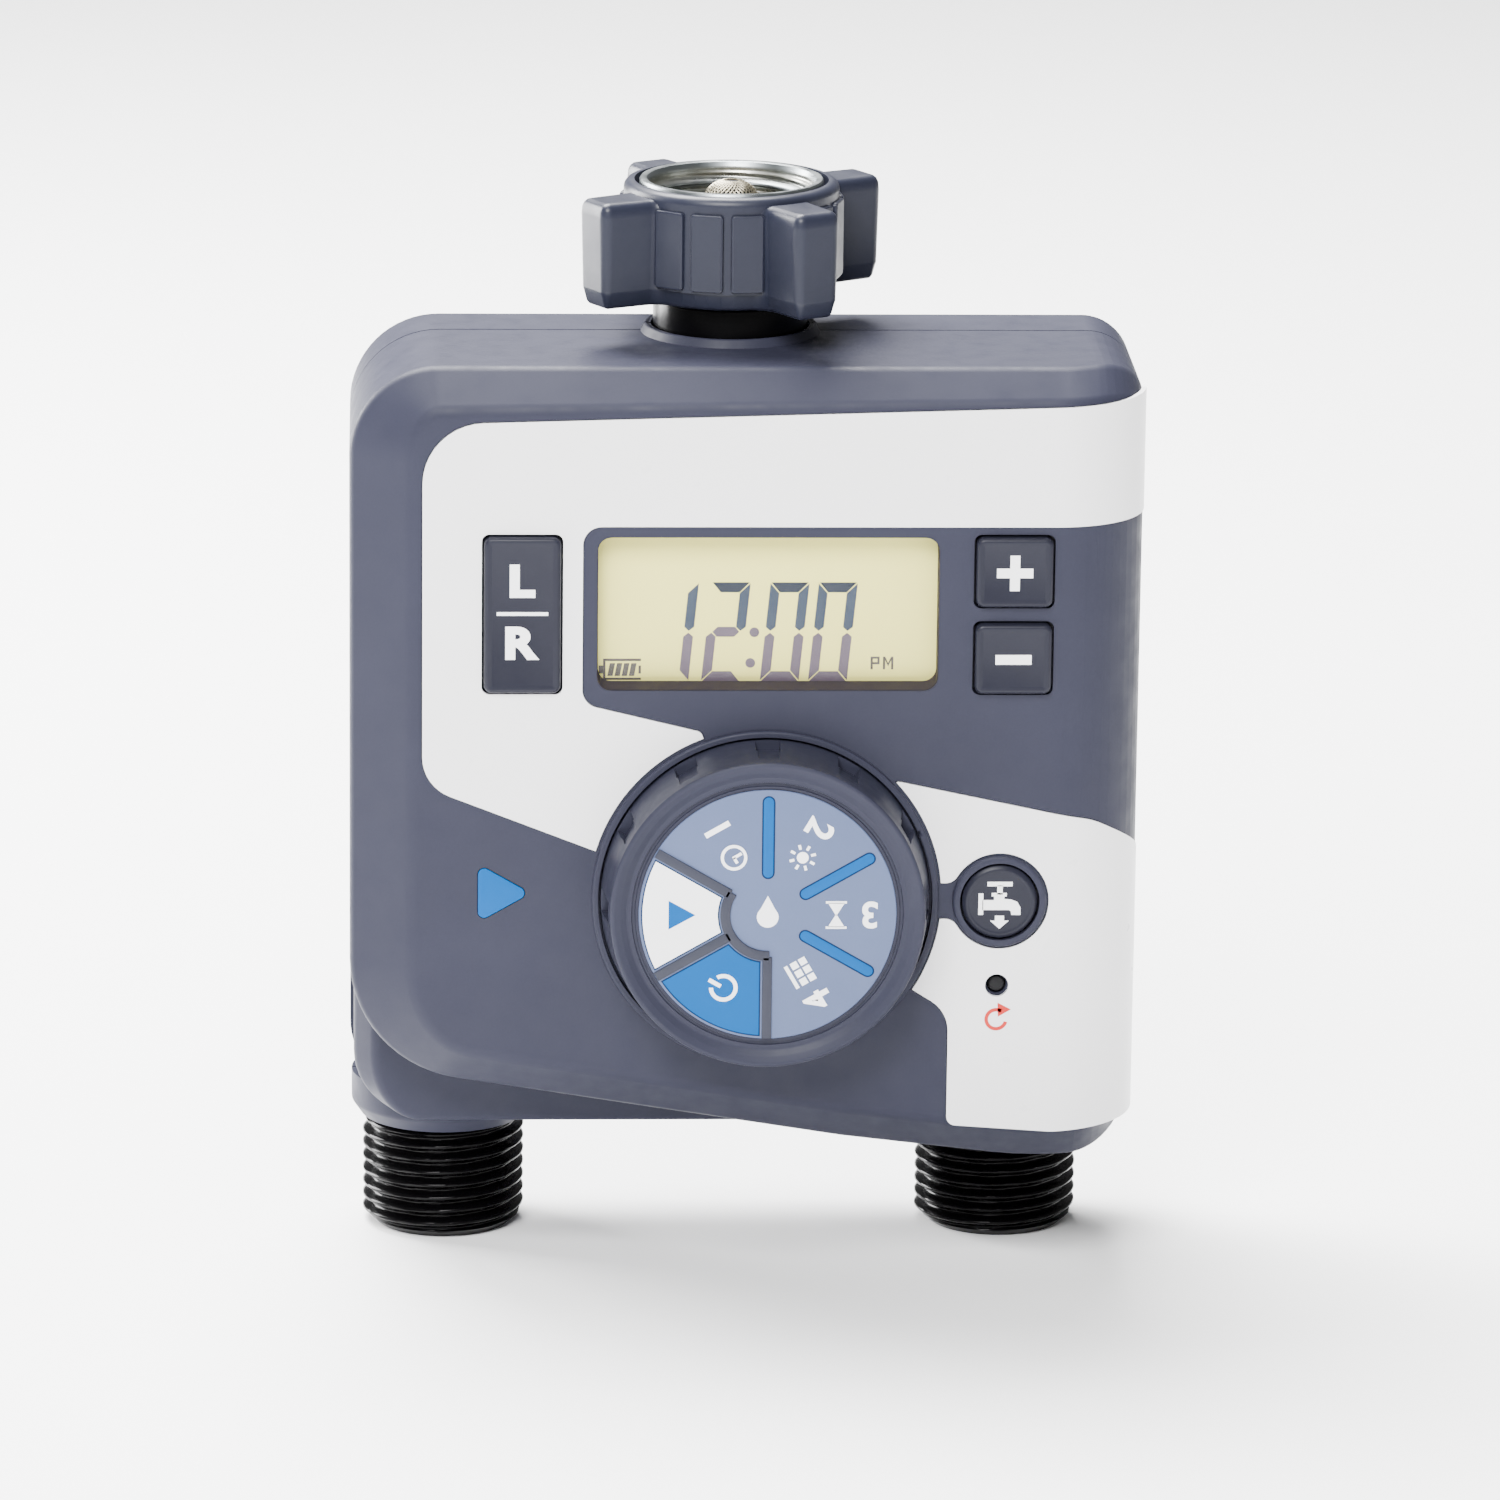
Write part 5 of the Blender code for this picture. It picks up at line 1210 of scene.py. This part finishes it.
def lettering(name, text, size, bold, turn_degrees, x, z, top, depth=0.08 * MM, stretch=1.0):
    """Flat raised characters, centred on x, z and turned in the face's plane."""
    curve = bpy.data.curves.new(name, "FONT")
    curve.body = text
    curve.size = size
    curve.offset = bold
    curve.extrude = depth / 2
    curve.align_x, curve.align_y = "CENTER", "CENTER"
    curve.resolution_u = 6
    item = link(name + "_guide", curve)
    evaluated = item.evaluated_get(bpy.context.evaluated_depsgraph_get())
    mesh = bpy.data.meshes.new_from_object(evaluated)
    bpy.data.objects.remove(item, do_unlink=True)
    xs = [v.co.x for v in mesh.vertices]
    ys = [v.co.y for v in mesh.vertices]
    centring = Matrix.Translation((-(min(xs) + max(xs)) / 2, -(min(ys) + max(ys)) / 2, 0.0))
    upright = Matrix.Rotation(math.radians(90.0), 4, "X")
    spin = Matrix.Rotation(math.radians(-turn_degrees), 4, "Y")
    place = Matrix.Translation((x, forward_of_pipe(top) + depth / 2, z))
    wide = Matrix.Diagonal((stretch, 1.0, 1.0, 1.0))
    mesh.transform(place @ spin @ upright @ wide @ centring)
    bm = bmesh.new()
    bm.from_mesh(mesh)
    bmesh.ops.remove_doubles(bm, verts=bm.verts, dist=0.000001)
    bpy.data.meshes.remove(mesh)
    return mesh_object(name, bm)


def icon(name, outlines, top, material, body, slot, place, turn_degrees=0.0, scale=1.0,
         depth=0.08):
    """Small raised marks: outlines of (x, z) in millimetres about place, turned and scaled."""
    spin = Matrix.Rotation(math.radians(turn_degrees), 2)
    for index, outline in enumerate(outlines):
        points = [place + (spin @ Vector(p)) * scale * MM for p in outline]
        mark = relief("%s_%d" % (name, index), points, top - depth, top)
        finish_piece(mark, body, slot, material)


def dot(x, z, radius, steps=20):
    return [Vector((x, z)) + Vector(ray(radius, math.tau * s / steps)) for s in range(steps)]


def hoop(radius, width, start=0.0, end=359.0, steps=36):
    """Open ring as one outline."""
    turns = [math.radians(start + (end - start) * s / steps) for s in range(steps + 1)]
    return [ray(radius, t) for t in turns] + [ray(radius - width, t) for t in reversed(turns)]


def slab(x_low, x_high, z_low, z_high):
    return [(x_low, z_low), (x_high, z_low), (x_high, z_high), (x_low, z_high)]


CLOCK_MARK = [hoop(1.9, 0.45), slab(-0.22, 0.22, -0.2, 1.25), slab(0.0, 0.95, -0.22, 0.22)]
SUN_MARK = [dot(0.0, 0.0, 0.85)] + [
    [ray(r, math.radians(a + d))
     for r, d in ((1.25, -9.0), (1.95, -6.0), (1.95, 6.0), (1.25, 9.0))]
    for a in range(0, 360, 45)]
GLASS_MARK = [[(-1.2, 1.8), (0.0, -0.15), (1.2, 1.8)], [(-1.2, -1.8), (1.2, -1.8), (0.0, 0.15)],
              slab(-1.5, 1.5, 1.7, 2.05), slab(-1.5, 1.5, -2.05, -1.7)]
GRID_MARK = [slab(-1.9 + 1.35 * col, -0.85 + 1.35 * col, -1.5 + 1.35 * row, -0.45 + 1.35 * row)
             for col in range(3) for row in range(2)] + [slab(-1.9, 1.85, 1.3, 1.85)]
PLAY_MARK = [[(-1.9, -2.4), (2.4, 0.0), (-1.9, 2.4)]]
POWER_MARK = [hoop(2.3, 0.65, 120.0, 420.0), slab(-0.33, 0.33, 0.5, 2.7)]
DROP_MARK = [[(0.0, 3.2), (-1.05, 1.2)] +
             [(1.75 * math.cos(math.radians(a)), -0.35 + 1.75 * math.sin(math.radians(a)))
              for a in range(155, 386, 15)] + [(1.05, 1.2)]]


def print_dial():
    for number, degrees, mark in (("1", 120.0, CLOCK_MARK), ("2", 60.0, SUN_MARK),
                                  ("3", 0.0, GLASS_MARK), ("4", -60.0, GRID_MARK)):
        turn = degrees - 180.0
        spot = polar(16.4, degrees)
        digit = lettering("dial_number_" + number, number, 6.0 * MM, 0.16 * MM, turn,
                          spot.x, spot.y, PRINT_TOP)
        finish_piece(digit, "dial", "dial_print", WHITE_PRINT)
        icon("dial_icon_" + number, mark, PRINT_TOP, WHITE_PRINT, "dial", "dial_print",
             polar(11.0, degrees), turn, 1.12)
    icon("run_icon", PLAY_MARK, PRINT_TOP + 0.05, BLUE, "dial", "dial_print", polar(14.0, 180.0))
    icon("off_icon", POWER_MARK, PRINT_TOP + 0.05, WHITE_PRINT, "dial", "dial_print",
         polar(14.0, 240.0), 60.0)
    icon("rain_icon", DROP_MARK, PRINT_TOP, WHITE_PRINT, "dial", "dial_print", polar(0.0, 0.0))


# ---------------------------------------------------------------- keys

KEY_FRONT = (PIPE_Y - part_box("button_plus")[0].y) / MM
MANUAL_FRONT = (PIPE_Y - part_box("button_manual")[0].y) / MM
INNER_FACE = FACE_DEPTH - WALL / MM
KEY_DISH = 0.16
GLYPH = 0.06


def make_key(node, span):
    """Cap with a soft rim and a shallow cushion, on a flange and a pusher."""
    shoulder = INNER_FACE - 0.3
    outline = rectangle(*span, 1.3 * MM, 8)
    loops = [standing(outline, forward_of_pipe(shoulder))]
    loops += rim_loops(outline, forward_of_pipe(KEY_FRONT), 0.7 * MM, 6, 18.0, 1.0)
    loops.append(standing(inset(outline, 1.25 * MM), forward_of_pipe(KEY_FRONT - KEY_DISH)))
    cap = mesh_object(node + "_cap", stack(loops), 40.0)
    low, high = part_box(node)
    flange = plate("flange", box_outline(low, high, 1.6 * MM),
                   forward_of_pipe(shoulder + 0.2), forward_of_pipe(shoulder - 0.8))
    middle = (low + high) / 2
    stem = block("stem", (middle.x - 3.0 * MM, forward_of_pipe(shoulder), middle.z - 3.0 * MM),
                 (middle.x + 3.0 * MM, high.y, middle.z + 3.0 * MM))
    join(cap, flange, stem)
    bake(cap, 40.0)
    return cap


KEY_BODIES = {"button_left_right": "left_right_key", "button_plus": "plus_key",
              "button_minus": "minus_key"}
PLUS_MARK = [(-2.9, -0.78), (-0.78, -0.78), (-0.78, -2.9), (0.78, -2.9), (0.78, -0.78),
             (2.9, -0.78), (2.9, 0.78), (0.78, 0.78), (0.78, 2.9), (-0.78, 2.9), (-0.78, 0.78),
             (-2.9, 0.78)]


def make_keys():
    for node, span in KEY_SPANS.items():
        finish_piece(make_key(node, span), KEY_BODIES[node], "key_plastic", KEY, node)
    face = KEY_FRONT - KEY_DISH
    for node, outline in (("button_plus", PLUS_MARK), ("button_minus", slab(-2.9, 2.9, -0.8, 0.8))):
        icon(node + "_mark", [outline], face + GLYPH, WHITE_PRINT, KEY_BODIES[node],
             "key_plastic", middle_of(node).xz)
    middle = middle_of("button_left_right")
    for text, rise in (("L", 5.75), ("R", -4.45)):
        letter = lettering("key_letter_" + text, text, 7.0 * MM, 0.34 * MM, 0.0, middle.x,
                           middle.z + rise * MM, face + GLYPH, stretch=1.16)
        finish_piece(letter, "left_right_key", "key_plastic", WHITE_PRINT)
    icon("key_divider", [slab(-4.1, 4.1, 0.08, 0.66)], face + GLYPH, WHITE_PRINT,
         "left_right_key", "key_plastic", middle.xz)
    make_round_keys()


TAP_MARK = [
    slab(-2.1, 2.1, 2.75, 3.5), slab(-0.45, 0.45, 1.3, 2.9),
    [(-2.9, -1.35), (0.9, -1.35), (1.55, -1.35), (1.9, -1.6), (1.95, -2.2), (3.5, -2.2),
     (3.45, -0.9), (2.9, 0.05), (1.9, 0.45), (0.75, 0.55), (0.75, 1.0), (1.15, 1.0), (1.15, 1.6),
     (-1.35, 1.6), (-1.35, 1.0), (-0.95, 1.0), (-0.95, 0.35), (-2.9, 0.35)],
    slab(-3.55, -2.75, -2.2, 1.5),
    [(0.0, -4.6), (1.55, -3.2), (0.75, -3.2), (0.75, -2.35), (-0.75, -2.35), (-0.75, -3.2),
     (-1.55, -3.2)],
]


def make_round_keys():
    stop = (PIPE_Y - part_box("button_manual")[1].y) / MM
    profile = [(0.0, MANUAL_FRONT - 0.15, 0.0), (5.0, MANUAL_FRONT - 0.12, 1.0),
               (5.4, MANUAL_FRONT, 0.4), (6.1, MANUAL_FRONT - 0.5, 0.3),
               (6.1, INNER_FACE - 0.3, 0.0), (7.4, INNER_FACE - 0.3, 0.0),
               (7.4, INNER_FACE - 1.1, 0.0), (3.0, INNER_FACE - 1.1, 0.0), (3.0, stop, 0.0),
               (0.0, stop, 0.0)]
    manual = lathe("manual_cap", profile, MANUAL_PLACE, "Y", 72, closed=False)
    finish_piece(manual, "manual_key", "key_plastic", KEY, "button_manual")
    icon("tap_mark", TAP_MARK, MANUAL_FRONT - 0.15 + GLYPH, WHITE_PRINT, "manual_key",
         "key_plastic", MANUAL_PLACE.xz, 0.0, 0.97)
    front = (PIPE_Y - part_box("button_reset")[0].y) / MM
    profile = [(0.0, front, 0.0), (1.3, front, 0.3), (1.3, INNER_FACE - 0.3, 0.0),
               (2.4, INNER_FACE - 0.3, 0.0), (2.4, INNER_FACE - 1.1, 0.0),
               (1.3, INNER_FACE - 1.1, 0.0), (1.3, stop, 0.0), (0.0, stop, 0.0)]
    reset = lathe("reset_pin", profile, RESET_PLACE, "Y", 32, closed=False)
    finish_piece(reset, "reset_key", "key_plastic", RUBBER, "button_reset")
    marks = [hoop(2.0, 0.62, 60.0, 345.0), [(0.2, 2.95), (2.5, 1.75), (0.3, 0.45)]]
    icon("reset_icon", marks, FACE_DEPTH + PANEL_PROUD / MM + 0.04, RED_PRINT, "housing",
         "white_panel", Vector((RESET_PLACE.x, RESET_PLACE.z - 5.7 * MM)), 0.0, 0.95, 0.06)


# ---------------------------------------------------------------- display

SEGMENT_LEAN = 0.098
DIGIT_BASE = 0.65                    # millimetres above the opening's lower edge


DIGIT_WIDTH, DIGIT_HEIGHT = 6.25, 16.3
BAR_THICKNESS, BAR_GAP = 1.62, 0.16


def segment_points(kind, x, z):
    """Corners of one bar of a slanted seven-bar digit whose lower left corner is x, z."""
    half, t, g = DIGIT_HEIGHT / 2, BAR_THICKNESS, BAR_GAP
    if kind == "middle":
        across = ((t * 0.5 + g, 0.0), (t + g * 0.6, t / 2))
        corners = [*across, *((DIGIT_WIDTH - px, pz) for px, pz in reversed(across)),
                   (DIGIT_WIDTH - across[1][0], -t / 2), (across[1][0], -t / 2)]
    elif kind in ("top", "bottom"):
        corners = [(g, half), (DIGIT_WIDTH - g, half), (DIGIT_WIDTH - t, half - t), (t, half - t)]
    else:
        corners = [(0.0, half - g), (t - g * 0.3, half - t - g), (t - g * 0.3, t * 0.5),
                   (t * 0.5, g), (0.0, t * 0.5)]
    if kind.startswith(("lower", "bottom")):
        corners = [(px, -pz) for px, pz in corners]
    if kind.endswith("right"):
        corners = [(DIGIT_WIDTH - px, pz) for px, pz in corners]
    return [(x + px + pz * SEGMENT_LEAN, z + half + pz) for px, pz in corners]


DIGIT_BARS = {
    "1": ("upper_right", "lower_right"),
    "2": ("top", "upper_right", "middle", "lower_left", "bottom"),
    "0": ("top", "upper_left", "upper_right", "lower_left", "lower_right", "bottom"),
}
PM_MARK = [
    slab(0.0, 0.38, 0.0, 2.1), slab(0.38, 1.1, 1.76, 2.1), slab(0.38, 1.1, 0.84, 1.18),
    slab(1.1, 1.46, 0.84, 2.1), slab(2.0, 2.36, 0.0, 2.1), slab(3.32, 3.68, 0.0, 2.1),
    [(2.36, 1.5), (2.84, 0.5), (2.84, 1.05), (2.36, 2.1)],
    [(2.84, 0.5), (3.32, 1.5), (3.32, 2.1), (2.84, 1.05)],
]


def make_display():
    """Display behind its lens: film, slanted digits, colon, small marks and a battery."""
    for node, name, corner, edge, slot, material in (
            ("lcd_panel", "display_glass", 0.8, 0.25, "lcd", LCD_FILM),
            ("lcd_window", "display_window", 1.0, 0.2, "lens", LENS)):
        low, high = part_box(node)
        item = plate(name, box_outline(low, high, corner * MM), low.y, high.y, edge * MM)
        finish_piece(item, "housing", slot, material, node)
    # The lining is painted shade. It is a near-black strip round the opening, left wider along the
    # bottom (the sill starts 1 mm up) to paint the shadow band at the window's lower edge.
    rim = rectangle(*LCD_SPAN, 2.3 * MM)
    front_y, back_y = FACE_Y + 0.25 * MM, WINDOW_LOW.y
    x_low, x_high, z_low, z_high = LCD_SPAN
    sill = rectangle(x_low + 0.22 * MM, x_high - 0.22 * MM, z_low + 1.0 * MM, z_high - 0.22 * MM,
                     2.1 * MM)
    loops = [standing(inset(rim, -0.05 * MM), front_y), standing(inset(rim, -0.05 * MM), back_y),
             standing(sill, back_y), standing(inset(rim, 0.12 * MM), front_y)]
    shade_liner = mesh_object("display_painted_shade_liner", stack(loops, closed_round=True))
    finish_piece(shade_liner, "housing", "rubber", PAINTED_SHADE_LINER)
    top = (PIPE_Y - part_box("lcd_panel")[0].y) / MM + 0.05
    base = Vector((LCD_SPAN[0], LCD_SPAN[2]))
    for index, (digit, x) in enumerate((("1", 9.35), ("2", 17.65), ("0", 27.1), ("0", 34.85))):
        for kind in DIGIT_BARS[digit]:
            points = segment_points(kind, x, DIGIT_BASE)
            upper = kind in ("top", "upper_left", "upper_right")
            # Painted shading by height: top bar darkest, upper bars dark, lower bars lighter.
            shade = LCD_SHADED_TOP if kind == "top" else LCD_SHADED_UPPER if upper else LCD_LIT_LOWER
            icon("digit_%d_%s" % (index, kind), [points], top, shade, "housing", "lcd", base)
    icon("colon", [dot(25.35, 8.72, 0.8), dot(24.75, 3.65, 0.8)], top, LCD_LIT_LOWER, "housing",
         "lcd", base)
    icon("display_pm", PM_MARK, top, LCD_ICON, "housing", "lcd",
         base + Vector((44.1, 2.6)) * MM)
    battery = [slab(1.1, 7.2, 3.95, 4.35), slab(1.1, 7.2, 0.85, 1.2), slab(1.1, 1.5, 1.2, 3.95),
               slab(6.8, 7.2, 1.9, 3.2), slab(0.4, 1.1, 1.9, 3.2)]
    battery += [[(x, 1.5), (x + 0.85, 1.5), (x + 1.25, 3.6), (x + 0.4, 3.6)]
                for x in (1.8, 2.95, 4.1, 5.25)]
    icon("battery_mark", battery, top, LCD_ICON, "housing", "lcd", base)


# ---------------------------------------------------------------- carried-over pieces

CARRIED = {
    RUBBER: ("left_diaphragm", "right_diaphragm", "keypad_left", "keypad_right", "lcd_connector"),
    BLACK: ("left_valve_bonnet", "right_valve_bonnet", "switch_base", "controller_chip"),
    STEEL: ("left_solenoid_frame", "right_solenoid_frame", "left_plunger", "right_plunger",
            "nut_retaining_ring", "contact_link", "contact_positive", "contact_negative"),
    SPRING_STEEL: ("left_plunger_spring", "right_plunger_spring", "contact_spring_upper",
                   "contact_spring_lower"),
    COPPER: ("left_solenoid_coil", "right_solenoid_coil"),
    BOARD: ("circuit_board",),
    NATURAL: ("switch_rotor",),
    SLEEVE: ("battery_upper", "battery_lower"),
    LEAD_BLUE: ("left_coil_lead", "right_coil_lead"),
    LEAD_RED: ("battery_lead_positive",),
    LEAD_BLACK: ("battery_lead_negative",),
}


def dress_carried_pieces():
    for material, names in CARRIED.items():
        for name in names:
            mesh = NODES[name].data
            if not mesh.materials:
                mesh.materials.append(material)
            for index in range(len(mesh.materials)):
                mesh.materials[index] = material


make_camera()
make_studio()
make_front_shell()
make_face_trim()
make_rear_shell()
make_gasket()
make_door()
make_screws()
make_manifold()
make_nut()
make_insert()
make_filter()
make_washer()
make_knob()
make_disc()
make_keys()
make_display()
dress_carried_pieces()
